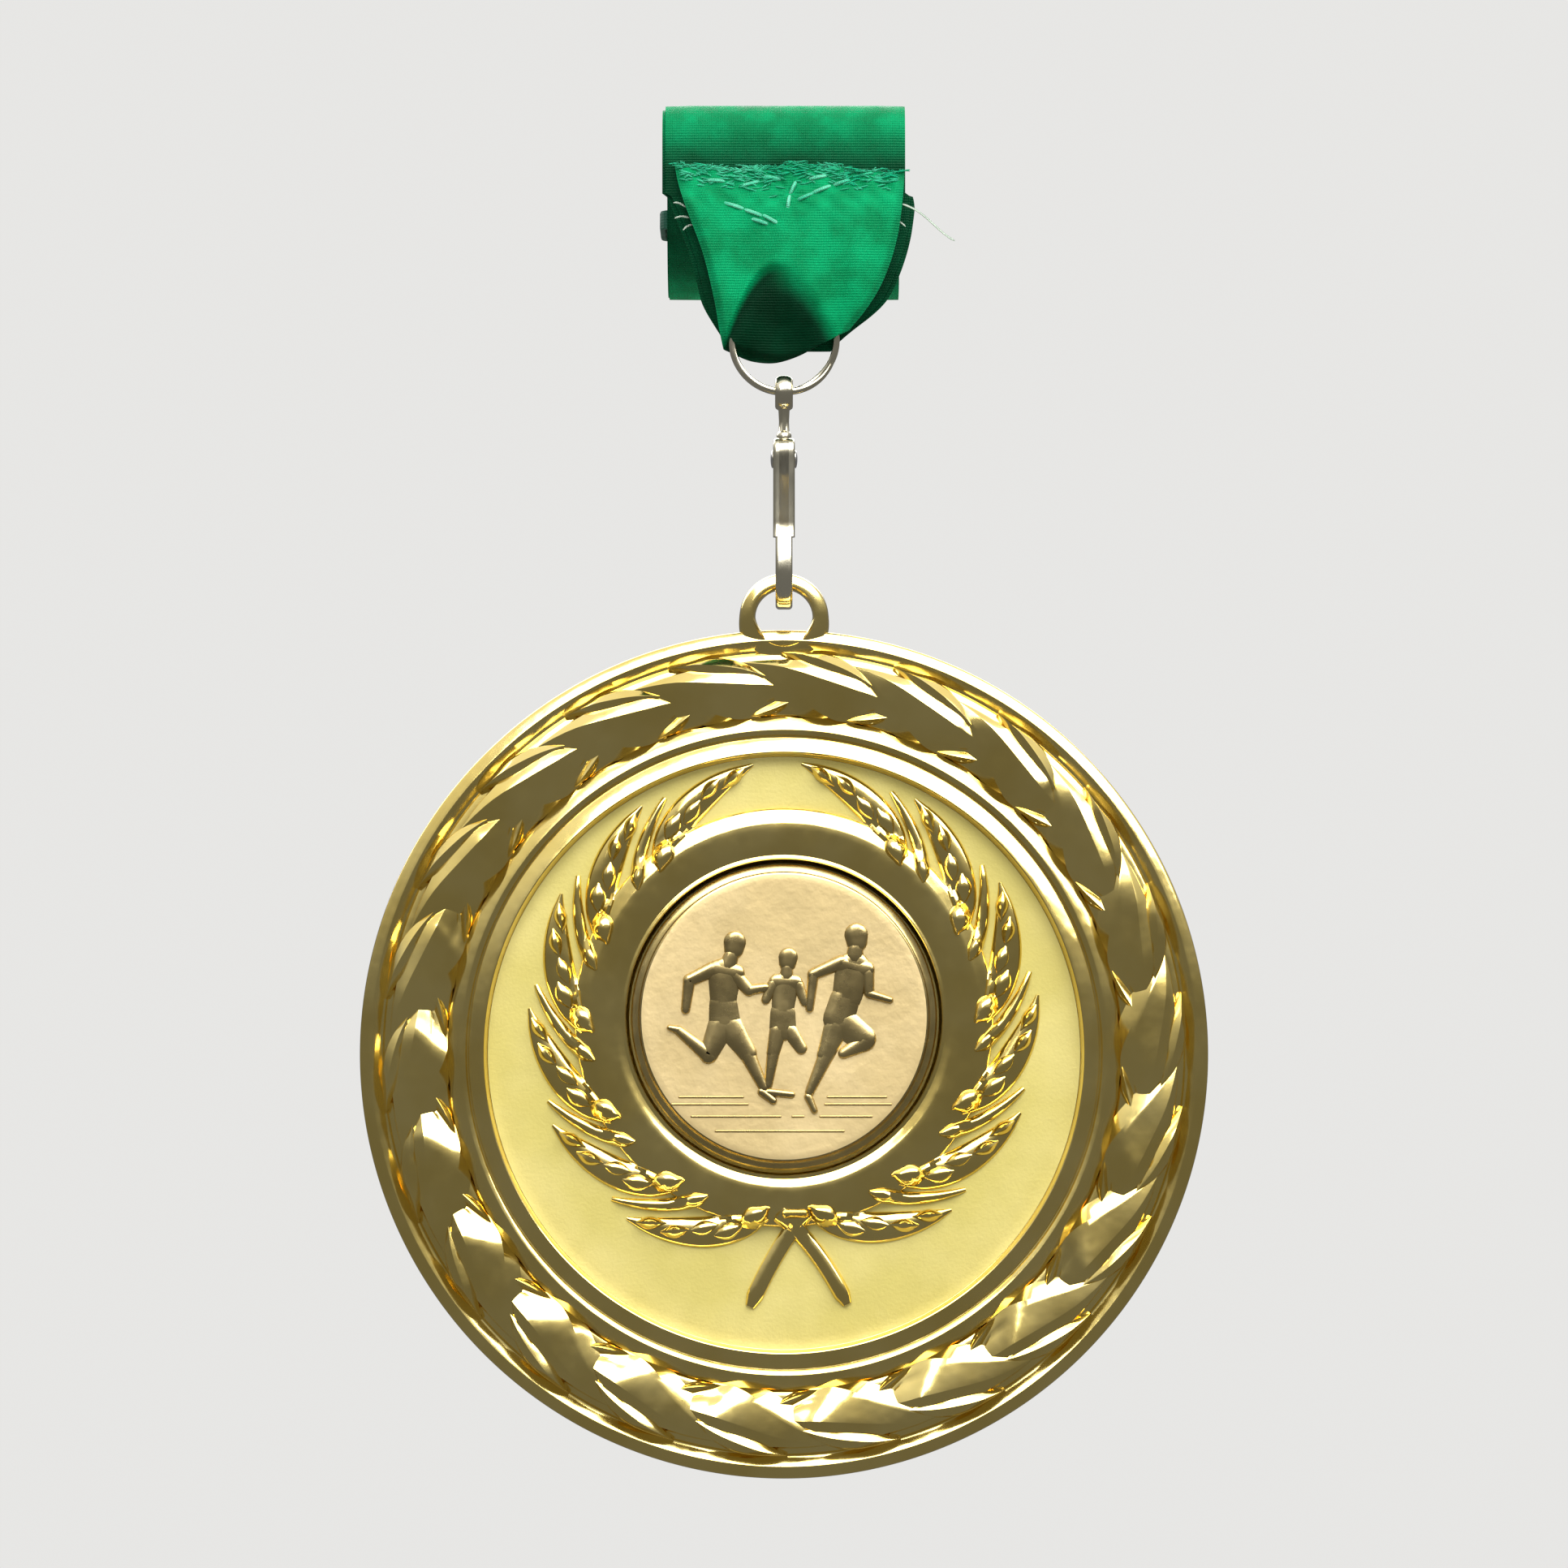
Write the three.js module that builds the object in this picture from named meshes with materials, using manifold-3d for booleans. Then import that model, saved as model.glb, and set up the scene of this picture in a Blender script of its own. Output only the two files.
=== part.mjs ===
// Sports finisher medal: a 70 mm cast disc with a loop, hung by a snap hook and a split ring from a sewn
// neck ribbon whose spare length is rolled up behind. Millimetres, +Z up, the medal's front faces -Y.
// Pieces are laid out about the disc's centre, then moved so that the origin is where the ribbon hangs.
import * as THREE from "three";
import { mergeVertices } from "three/addons/utils/BufferGeometryUtils.js";
import Module from "manifold-3d";

const wasm = await Module();
wasm.setup();

// ---- Driving dimensions -------------------------------------------------------------------------
const GAP = 0.3; // clearance between pieces that rest on each other

// Cast disc
const DISC_R = 35;
const DISC_HALF = 2.5; // half thickness at the rim
const BAND_OUTER_R = 34;
const BAND_INNER_R = 26.7;
const BAND_CREST = 2.9; // height of the garland band's crest above the disc's middle plane
const BAND_FOOT = 1.7; // height of the band's two edges
const STEP_LEVEL = 1.45; // the plain ring just inside the band
const STEP_WIDTH = 0.9;
const FIELD_R = 24;
const FIELD_LEVEL = 1.2;
const BACK_FIELD_R = 25;
const BACK_FIELD_LEVEL = 1.9;
const BACK_STEP = 0.4; // width of the slope between the back's rim and its field
const BACK_EDGE = 0.4; // bevel of the back's outer edge
const FRONT_EDGE = 0.3; // bevel of the front's outer edge
const LIP_WIDTH = 0.8;
const DISC_SEGMENTS = 72;

// Round seat of the insert, a little above the disc's centre
const SEAT_RISE = 2.9;
const SEAT_R = 13;
const SEAT_FLOOR = 0.5;
const SURROUND_R = 16.6;
const SURROUND_CREST = 2.3;
const SURROUND_SHOULDER = 1.85; // height of the surround's outer shoulder
const SURROUND_TOP = 2.1; // height of the surround just outside the seat
const INSERT_R = 12.6;
const INSERT_THICK = 0.8;
const INSERT_BEVEL = 0.45; // height of the insert's bevelled edge
const INSERT_BEVEL_WIDTH = 0.85;
const PAD_R = 12;
const PAD_THICK = 0.4;
const FIT_GAP = 0.1;

// Cast loop on top of the disc
const LOOP_HALF_WIDTH = 3.7;
const LOOP_HOLE_R = 2.37;
const LOOP_ARC_Z = 36.03;
const LOOP_HALF_THICK = 1.1;
const LOOP_ROOT_Z = 33;
const RIM_TOP_Z = 34.9;

// Split ring, taken as one solid ring
const RING_R = 4.37; // to the middle of the wire
const WIRE_RADIAL = 0.45;
const WIRE_AXIAL = 0.62;

// Snap hook, a flat piece that lies in the plane x = 0
const HOOK_BAR_Z = 37.45; // middle of the bar that the medal hangs on
const HOOK_HALF = 0.7;
const BODY_HALF = 0.9;
const BODY_FROM_Z = 42;
const HOOK_BEVEL = 0.25;
const SPINE_OUTER_Y = 2.3; // the straight front spine, above the bend that swells forward
const SPINE_INNER_Y = 0.9;
const SHOULDER_Z = 49; // where the spine's front starts to round towards the head's top
const SPINE_FOOT_Z = 44.2;
const SWELL_Z = 42.6; // where the spine leans into the bend
const HEAD_FLOOR_Z = 48.2;
const HEAD_BACK_Y = 2.3;
const HEAD_TOP_Z = 50.9;
const HEAD_TOP_Y = 1.3;
const CORNER_Y = 0.5;
const CORNER_Z = 39.5;
const CORNER_OUTER_R = 2.7;
const CORNER_INNER_R = 1.4;
const TIP_Z = 41.2;
const EYE_HALF = 0.75;
const EYE_OUTER_R = 1.6;
const EYE_HOLE_R = 0.95;
const WIRE_Z = 54.85; // middle of the ring's lowest wire, which the hook swings on
const EYE_Z = WIRE_Z - 0.2;
const COLLAR_HALF_X = 0.62;
const COLLAR_HALF_Y = 1.1;
const COLLAR_TOP_Z = 51.5;
const NECK_HALF_X = 0.45;
const NECK_HALF_Y = 0.7;

// Gate of the snap hook
const RIVET_Y = 1.2;
const RIVET_Z = 49.4;
const RIVET_R = 0.42;
const RIVET_HOLE_R = 0.55;
const RIVET_HEAD_R = 0.75;
const RIVET_HEAD_THICK = 0.22;
const GATE_HALF = 0.32;
const SLOT_HALF = 0.45;
const SLOT_FRONT_Y = 0.6; // how far the gate's slot reaches towards the front
const SLOT_BOTTOM_Z = 46;
const SLOT_TOP_Z = 51.2;
const GATE_END_R = 0.95;
const GATE_TIP_Z = TIP_Z + 0.4;

// Ribbon
const RIBBON_WIDTH = 20;
const LEG_FRONT_Y = 0.55;
const LEG_THICK = 0.7;
const FOLD_GAP_R = 2.6; // inside radius of the fold that the medal hangs by
const FOLD_CENTER_Z = 76.2;
const TAB_TOP_Z = 74.1;
const TAB_BOTTOM_Z = 68.4;
const TAB_FRONT_Y = -1.1;
const TAB_BACK_Y = 0.25;
const BEND_Z = 66.8; // where the ribbon bends between its seam and the ring
const BEND_R = 1.3;
const SLEEVE_HALF = 1.45;
const SLEEVE_BOTTOM_Z = 59.6;
const ARCH_R = 3.3;
const ROLL_R = 7.2;
const ROLL_CORE_R = 1.4;
const ROLL_HALF = 9.8;
const ROLL_Y = 15.5;
const ROLL_Z = 71.6;
const RUN_DOWN_Z = 72;
const LEG_BOTTOM_Z = 70;
const THREAD_THICK = 0.3;
const TIE_HALF_WIDTH = 0.8;
const TIE_THICK = 0.5;

const RING_Z = WIRE_Z + RING_R;
const FOLD_CENTER_Y = LEG_FRONT_Y + LEG_THICK + FOLD_GAP_R;
const HANG = new THREE.Vector3(0, FOLD_CENTER_Y, FOLD_CENTER_Z + FOLD_GAP_R);

// ---- Materials ----------------------------------------------------------------------------------
const material = (color, roughness, metalness) =>
  new THREE.MeshStandardMaterial({ color, roughness, metalness });
const MATERIALS = {
  gold: material(0xd8b84a, 0.25, 1),
  insert: material(0xd9b884, 0.5, 0.8),
  foam: material(0xf2f0e8, 0.9, 0),
  champagne: material(0xd8cdae, 0.25, 1),
  steel: material(0xc4c4c0, 0.3, 1),
  satin: material(0x009a62, 0.55, 0),
  thread: material(0x4fc892, 0.7, 0),
  tie: material(0x0a5c3c, 0.8, 0),
};

// ---- Helpers ------------------------------------------------------------------------------------
// A closed geometry as a manifold-3d solid, and back.
function solidOf(geometry) {
  const bare = geometry.index ? geometry.toNonIndexed() : geometry.clone();
  bare.deleteAttribute("normal");
  bare.deleteAttribute("uv");
  const merged = mergeVertices(bare, 1e-4);
  return new wasm.Manifold(
    new wasm.Mesh({
      numProp: 3,
      vertProperties: merged.attributes.position.array,
      triVerts: new Uint32Array(merged.index.array),
    }),
  );
}

function geometryOf(solid) {
  const mesh = solid.getMesh();
  const geometry = new THREE.BufferGeometry();
  geometry.setAttribute("position", new THREE.BufferAttribute(mesh.vertProperties, 3));
  geometry.setIndex(new THREE.BufferAttribute(mesh.triVerts, 1));
  return geometry;
}

const join = (first, ...others) => others.reduce((whole, next) => whole.add(next), first);
const cut = (first, ...tools) => tools.reduce((rest, tool) => rest.subtract(tool), first);

// A solid of revolution about the disc's own axis, Y; levels in the profile are heights towards the front.
function turned(profile, segments, x = 0, z = 0) {
  const points = profile.map(([radius, level]) => new THREE.Vector2(radius, -level)).reverse();
  return new THREE.LatheGeometry(points, segments).translate(x, 0, z);
}

// A plate cut to an outline in X and Z, between two depths in Y.
function frontPlate(outline, fromY, toY) {
  const depth = toY - fromY;
  const options = { depth, bevelEnabled: false, curveSegments: 12 };
  return new THREE.ExtrudeGeometry(outline, options).rotateX(Math.PI / 2).translate(0, toY, 0);
}

// A plate cut to an outline in Y and Z, with its middle at x = 0.
const SIDEWAYS = new THREE.Matrix4().makeBasis(
  new THREE.Vector3(0, 1, 0),
  new THREE.Vector3(0, 0, 1),
  new THREE.Vector3(1, 0, 0),
);
function sidePlate(outline, half, bevel = 0, curveSegments = 8) {
  const options = {
    depth: 2 * (half - bevel),
    bevelEnabled: bevel > 0,
    bevelThickness: bevel,
    bevelSize: bevel,
    bevelOffset: -bevel,
    bevelSegments: 1,
    curveSegments,
  };
  const plate = new THREE.ExtrudeGeometry(outline, options);
  return plate.translate(0, 0, bevel - half).applyMatrix4(SIDEWAYS);
}

function box(fromX, toX, fromY, toY, fromZ, toZ) {
  const geometry = new THREE.BoxGeometry(toX - fromX, toY - fromY, toZ - fromZ);
  return geometry.translate((fromX + toX) / 2, (fromY + toY) / 2, (fromZ + toZ) / 2);
}

// A rod along X.
function rod(radius, half, y, z, segments = 24) {
  return new THREE.CylinderGeometry(radius, radius, 2 * half, segments)
    .rotateZ(Math.PI / 2)
    .translate(0, y, z);
}

const outlineOf = (points) => new THREE.Shape(points.map(([u, v]) => new THREE.Vector2(u, v)));

// ---- Medal --------------------------------------------------------------------------------------
// The band's round top between its two edges, as points from the outside in.
function bandArc(steps) {
  const middle = (BAND_OUTER_R + BAND_INNER_R) / 2;
  const half = (BAND_OUTER_R - BAND_INNER_R) / 2;
  return Array.from({ length: steps + 1 }, (_, i) => {
    const turn = (Math.PI * i) / steps;
    const level = BAND_FOOT + (BAND_CREST - BAND_FOOT) * Math.sin(turn);
    return [middle + half * Math.cos(turn), level];
  });
}

function loopSolid() {
  const outline = new THREE.Shape();
  outline.moveTo(LOOP_HALF_WIDTH, LOOP_ROOT_Z);
  outline.lineTo(LOOP_HALF_WIDTH, LOOP_ARC_Z);
  outline.absarc(0, LOOP_ARC_Z, LOOP_HALF_WIDTH, 0, Math.PI, false);
  outline.lineTo(-LOOP_HALF_WIDTH, LOOP_ROOT_Z);
  const hole = new THREE.Path();
  hole.moveTo(LOOP_HOLE_R, RIM_TOP_Z);
  hole.lineTo(LOOP_HOLE_R, LOOP_ARC_Z);
  hole.absarc(0, LOOP_ARC_Z, LOOP_HOLE_R, 0, Math.PI, false);
  hole.lineTo(-LOOP_HOLE_R, RIM_TOP_Z);
  outline.holes.push(hole);
  return solidOf(frontPlate(outline, -LOOP_HALF_THICK, LOOP_HALF_THICK));
}

function medalCasting() {
  const disc = turned(
    [
      [0, -BACK_FIELD_LEVEL],
      [BACK_FIELD_R, -BACK_FIELD_LEVEL],
      [BACK_FIELD_R + BACK_STEP, -DISC_HALF],
      [DISC_R - BACK_EDGE, -DISC_HALF],
      [DISC_R, -DISC_HALF + BACK_EDGE],
      [DISC_R, DISC_HALF - FRONT_EDGE],
      [DISC_R - FRONT_EDGE, DISC_HALF],
      [DISC_R - LIP_WIDTH, DISC_HALF],
      ...bandArc(8),
      [BAND_INNER_R - STEP_WIDTH, BAND_FOOT],
      [BAND_INNER_R - STEP_WIDTH - 0.1, STEP_LEVEL],
      [BAND_INNER_R - 2 * STEP_WIDTH - 0.1, STEP_LEVEL],
      [FIELD_R, FIELD_LEVEL],
      [0, FIELD_LEVEL],
    ],
    DISC_SEGMENTS,
  );
  const surround = turned(
    [
      [0, 0],
      [SURROUND_R, 0],
      [SURROUND_R, FIELD_LEVEL],
      [SURROUND_R - 0.6, SURROUND_SHOULDER],
      [SURROUND_R - 1.8, SURROUND_CREST],
      [SEAT_R + 0.5, SURROUND_TOP],
      [0, SURROUND_TOP],
    ],
    DISC_SEGMENTS,
    0,
    SEAT_RISE,
  );
  const above = SURROUND_CREST + 1;
  const bore = [[0, SEAT_FLOOR], [SEAT_R, SEAT_FLOOR], [SEAT_R, above], [0, above]];
  const seat = turned(bore, DISC_SEGMENTS, 0, SEAT_RISE);
  return geometryOf(cut(join(solidOf(disc), solidOf(surround), loopSolid()), solidOf(seat)));
}

const PAD_LEVEL = SEAT_FLOOR + FIT_GAP;
const INSERT_LEVEL = PAD_LEVEL + PAD_THICK + FIT_GAP;

function adhesivePad() {
  const top = PAD_LEVEL + PAD_THICK;
  return turned([[0, PAD_LEVEL], [PAD_R, PAD_LEVEL], [PAD_R, top], [0, top]], 48, 0, SEAT_RISE);
}

function centerInsert() {
  const top = INSERT_LEVEL + INSERT_THICK;
  const profile = [
    [0, INSERT_LEVEL],
    [INSERT_R, INSERT_LEVEL],
    [INSERT_R, top - INSERT_BEVEL],
    [INSERT_R - INSERT_BEVEL_WIDTH, top],
    [0, top],
  ];
  return turned(profile, 64, 0, SEAT_RISE);
}

// ---- Ring and snap hook -------------------------------------------------------------------------
// A ring about Y with an oval section, thicker than the wire by a clearance where it is used as a tool.
function ovalRing(clearance, segments, sides) {
  const points = Array.from({ length: sides + 1 }, (_, i) => {
    const turn = (2 * Math.PI * (i % sides)) / sides;
    const radius = RING_R + (WIRE_RADIAL + clearance) * Math.cos(turn);
    return new THREE.Vector2(radius, (WIRE_AXIAL + clearance) * Math.sin(turn));
  });
  return new THREE.LatheGeometry(points, segments).translate(0, 0, RING_Z);
}

// The hook's outline: front spine, round bottom, tip, and the head that holds the gate.
function hookOutline() {
  const outline = new THREE.Shape();
  outline.moveTo(-HEAD_TOP_Y, HEAD_TOP_Z);
  outline.lineTo(-1.7, HEAD_TOP_Z - 0.15);
  outline.bezierCurveTo(-2.25, 50.4, -SPINE_OUTER_Y, 49.8, -SPINE_OUTER_Y, SHOULDER_Z);
  outline.lineTo(-SPINE_OUTER_Y, SPINE_FOOT_Z);
  outline.bezierCurveTo(-SPINE_OUTER_Y, SWELL_Z, -3.2, 41.6, -CORNER_Y - CORNER_OUTER_R, CORNER_Z);
  outline.absarc(-CORNER_Y, CORNER_Z, CORNER_OUTER_R, Math.PI, 1.5 * Math.PI, false);
  outline.absarc(CORNER_Y, CORNER_Z, CORNER_OUTER_R, 1.5 * Math.PI, 2 * Math.PI, false);
  outline.lineTo(CORNER_Y + CORNER_OUTER_R, TIP_Z);
  outline.lineTo(CORNER_Y + CORNER_INNER_R, TIP_Z);
  outline.absarc(CORNER_Y, CORNER_Z, CORNER_INNER_R, 0, -0.5 * Math.PI, true);
  outline.absarc(-CORNER_Y, CORNER_Z, CORNER_INNER_R, 1.5 * Math.PI, Math.PI, true);
  outline.bezierCurveTo(-1.9, 41.4, -SPINE_INNER_Y, SWELL_Z, -SPINE_INNER_Y, SPINE_FOOT_Z);
  outline.lineTo(-SPINE_INNER_Y, HEAD_FLOOR_Z - 1);
  outline.quadraticCurveTo(-SPINE_INNER_Y, HEAD_FLOOR_Z, 0, HEAD_FLOOR_Z);
  outline.lineTo(HEAD_BACK_Y, HEAD_FLOOR_Z);
  outline.quadraticCurveTo(HEAD_BACK_Y + 0.4, 49.6, 1.9, 50.6);
  outline.lineTo(1.2, HEAD_TOP_Z);
  return outline;
}

function clipHook() {
  const outline = hookOutline();
  const bar = solidOf(sidePlate(outline, HOOK_HALF, HOOK_BEVEL));
  const thick = solidOf(sidePlate(outline, BODY_HALF, HOOK_BEVEL));
  const upper = thick.intersect(solidOf(box(-2, 2, -6, 6, BODY_FROM_Z, HEAD_TOP_Z + 1)));
  const collar = solidOf(
    box(-COLLAR_HALF_X, COLLAR_HALF_X, -COLLAR_HALF_Y, COLLAR_HALF_Y, HEAD_TOP_Z - 0.3, COLLAR_TOP_Z),
  );
  const neckTop = EYE_Z - EYE_HOLE_R - 0.2;
  const neck = solidOf(
    box(-NECK_HALF_X, NECK_HALF_X, -NECK_HALF_Y, NECK_HALF_Y, COLLAR_TOP_Z - 0.2, neckTop),
  );
  const eye = solidOf(rod(EYE_OUTER_R, EYE_HALF, 0, EYE_Z));
  const eyeHole = solidOf(rod(EYE_HOLE_R, 2, 0, EYE_Z));
  const slot = solidOf(box(-SLOT_HALF, SLOT_HALF, -SLOT_FRONT_Y, 4, SLOT_BOTTOM_Z, SLOT_TOP_Z));
  const rivetHole = solidOf(rod(RIVET_HOLE_R, 2, RIVET_Y, RIVET_Z, 16));
  const body = cut(join(bar, upper), slot, rivetHole);
  return geometryOf(cut(join(body, collar, neck, eye), eyeHole));
}

// The gate: a lever with a thumb tab above its rivet and a nose that closes on the hook's tip.
function clipGate() {
  const outline = new THREE.Shape();
  const tipFront = CORNER_Y + CORNER_INNER_R + 0.1;
  const tipBack = CORNER_Y + CORNER_OUTER_R - 0.1;
  outline.moveTo(RIVET_Y - GATE_END_R, RIVET_Z);
  outline.bezierCurveTo(0.3, 47.6, 2.3, 46.8, tipFront, GATE_TIP_Z);
  outline.lineTo(tipBack, GATE_TIP_Z);
  outline.bezierCurveTo(3.9, 45.0, 3.6, 47.6, 2.9, 48.9);
  outline.lineTo(4.1, 49.9);
  outline.lineTo(3.8, 50.6);
  outline.lineTo(2.0, 50.2);
  outline.absarc(RIVET_Y, RIVET_Z, GATE_END_R, 0.3 * Math.PI, Math.PI, false);
  const hole = new THREE.Path().absarc(RIVET_Y, RIVET_Z, RIVET_HOLE_R, 0, 2 * Math.PI, true);
  outline.holes.push(hole);
  return sidePlate(outline, GATE_HALF);
}

function gateRivet() {
  const inner = BODY_HALF + 0.1;
  const outer = inner + RIVET_HEAD_THICK;
  const profile = [
    [0, -outer],
    [RIVET_HEAD_R - 0.2, -outer],
    [RIVET_HEAD_R, -inner],
    [RIVET_R, -inner],
    [RIVET_R, inner],
    [RIVET_HEAD_R, inner],
    [RIVET_HEAD_R - 0.2, outer],
    [0, outer],
  ];
  const points = profile.map(([radius, x]) => new THREE.Vector2(radius, x));
  return new THREE.LatheGeometry(points, 16).rotateZ(Math.PI / 2).translate(0, RIVET_Y, RIVET_Z);
}

// The bent leaf in the slot that pushes the gate shut.
function gateSpring() {
  const outline = outlineOf([
    [-0.45, 50.5],
    [-0.45, 49.2],
    [-0.15, 47.9],
    [0.0, 47.9],
    [-0.27, 49.2],
    [-0.27, 50.5],
  ]);
  return sidePlate(outline, GATE_HALF);
}

// ---- Ribbon -------------------------------------------------------------------------------------
// The gathered end round the ring, open below the ring's wire and round where it bends.
function ribbonSleeve() {
  const outline = outlineOf([
    [-7.0, BEND_Z],
    [-5.8, 62.7],
    [-5.6, SLEEVE_BOTTOM_Z],
    [5.6, SLEEVE_BOTTOM_Z],
    [7.6, 62.7],
    [9.2, BEND_Z],
  ]);
  const stack = solidOf(frontPlate(outline, -SLEEVE_HALF, SLEEVE_HALF));
  const shoulder = solidOf(rod(BEND_R, 1, 0, BEND_Z, 20).scale(7, 1, 1));
  const squared = solidOf(box(-10, 10, -3, 3, BEND_Z - 1.2, BEND_Z + 2));
  const arch = new THREE.CylinderGeometry(ARCH_R, ARCH_R, 8, 40).translate(0, 0, RING_Z);
  const tunnel = ovalRing(GAP, 48, 12);
  return geometryOf(cut(join(cut(stack, squared), neckBlock(), shoulder), solidOf(arch), solidOf(tunnel)));
}

// The narrower stretch between the sleeve's flat sides and its round top.
function neckBlock() {
  const outline = outlineOf([
    [-7.0, BEND_Z],
    [-6.7, BEND_Z - 1.3],
    [8.8, BEND_Z - 1.3],
    [9.2, BEND_Z],
  ]);
  return solidOf(frontPlate(outline, -BEND_R, BEND_R));
}

function frontTab() {
  const outline = outlineOf([
    [-7.6, TAB_BOTTOM_Z],
    [9.5, TAB_BOTTOM_Z],
    [10, TAB_TOP_Z - 1],
    [10, TAB_TOP_Z],
    [-9.4, TAB_TOP_Z],
  ]);
  return frontPlate(outline, TAB_FRONT_Y, TAB_BACK_Y);
}

// The two legs, one on the other: up behind the tab, over the fold and down to the roll.
function ribbonLegs() {
  const inner = FOLD_GAP_R;
  const outer = FOLD_GAP_R + LEG_THICK;
  const outline = new THREE.Shape();
  outline.moveTo(FOLD_CENTER_Y - inner, LEG_BOTTOM_Z);
  outline.lineTo(FOLD_CENTER_Y - inner, FOLD_CENTER_Z);
  outline.absarc(FOLD_CENTER_Y, FOLD_CENTER_Z, inner, Math.PI, 0, true);
  outline.lineTo(FOLD_CENTER_Y + inner, RUN_DOWN_Z);
  outline.lineTo(FOLD_CENTER_Y + outer, RUN_DOWN_Z);
  outline.lineTo(FOLD_CENTER_Y + outer, FOLD_CENTER_Z);
  outline.absarc(FOLD_CENTER_Y, FOLD_CENTER_Z, outer, 0, Math.PI, false);
  outline.lineTo(FOLD_CENTER_Y - outer, LEG_BOTTOM_Z);
  return sidePlate(outline, RIBBON_WIDTH / 2);
}

function ribbonRoll() {
  const roll = solidOf(rod(ROLL_R, ROLL_HALF, ROLL_Y, ROLL_Z, 48));
  return geometryOf(cut(roll, solidOf(rod(ROLL_CORE_R, 12, ROLL_Y, ROLL_Z, 16))));
}

// A flat band through the roll's core, closed round the outside at the back.
function rollTie() {
  const half = ROLL_HALF + GAP;
  const back = ROLL_Y + ROLL_R + GAP;
  const low = ROLL_Z - TIE_HALF_WIDTH;
  const high = ROLL_Z + TIE_HALF_WIDTH;
  const outer = half + TIE_THICK;
  const outside = box(-outer, outer, ROLL_Y - TIE_THICK / 2, back + TIE_THICK, low, high);
  const inside = box(-half, half, ROLL_Y + TIE_THICK / 2, back, low - 1, high + 1);
  return geometryOf(cut(solidOf(outside), solidOf(inside)));
}

// The seam on the tab: a row across it and two slanting rows that meet below.
function tabStitching() {
  const back = TAB_FRONT_Y - 0.1;
  const front = back - THREAD_THICK;
  const row = (points) => solidOf(frontPlate(outlineOf(points), front, back));
  const across = row([[-6.5, 72.0], [7, 72.0], [7, 72.5], [-6.5, 72.5]]);
  const left = row([[-5.2, 72.2], [-0.2, 69.2], [0.2, 69.5], [-4.6, 72.4]]);
  const right = row([[0.1, 69.2], [5.6, 72.2], [5.0, 72.4], [-0.2, 69.5]]);
  return geometryOf(join(across, left, right));
}

// ---- Assembly -----------------------------------------------------------------------------------
function piece(name, geometry, look) {
  const mesh = new THREE.Mesh(geometry, MATERIALS[look]);
  mesh.name = name;
  return mesh;
}

const medal = new THREE.Group();
medal.add(
  piece("medal_casting", medalCasting(), "gold"),
  piece("insert_adhesive_pad", adhesivePad(), "foam"),
  piece("center_insert", centerInsert(), "insert"),
);

const fastening = new THREE.Group();
fastening.add(
  piece("split_ring", ovalRing(0, 48, 12), "champagne"),
  piece("clip_hook", clipHook(), "champagne"),
  piece("clip_gate", clipGate(), "champagne"),
  piece("gate_rivet", gateRivet(), "steel"),
  piece("gate_spring", gateSpring(), "steel"),
);

const ribbon = new THREE.Group();
ribbon.add(
  piece("ribbon_ring_sleeve", ribbonSleeve(), "satin"),
  piece("ribbon_front_tab", frontTab(), "satin"),
  piece("ribbon_legs", ribbonLegs(), "satin"),
  piece("ribbon_roll", ribbonRoll(), "satin"),
  piece("tab_stitching", tabStitching(), "thread"),
  piece("roll_tie", rollTie(), "tie"),
);

const hung = new THREE.Group();
hung.add(medal, fastening, ribbon);
hung.position.copy(HANG).negate();

const assembly = new THREE.Group();
assembly.add(hung);

export default assembly;
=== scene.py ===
"""Sports finisher medal, the detailed visual model: a gold-plated disc with a garlanded rim, a laurel
wreath and a runners insert, hung by a snap hook and a split ring from a green satin ribbon.

Everything is laid out in millimetres in the hanging frame: the origin is the middle of the disc, +X is to
the right as seen from the front, +Y points away from the viewer and +Z is up. A height on the medal's face
is measured towards the viewer, so a height h lies at y = -h."""
import random
from math import atan2, copysign, cos, degrees, dist, exp, hypot, pi, radians, sin, sqrt

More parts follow.
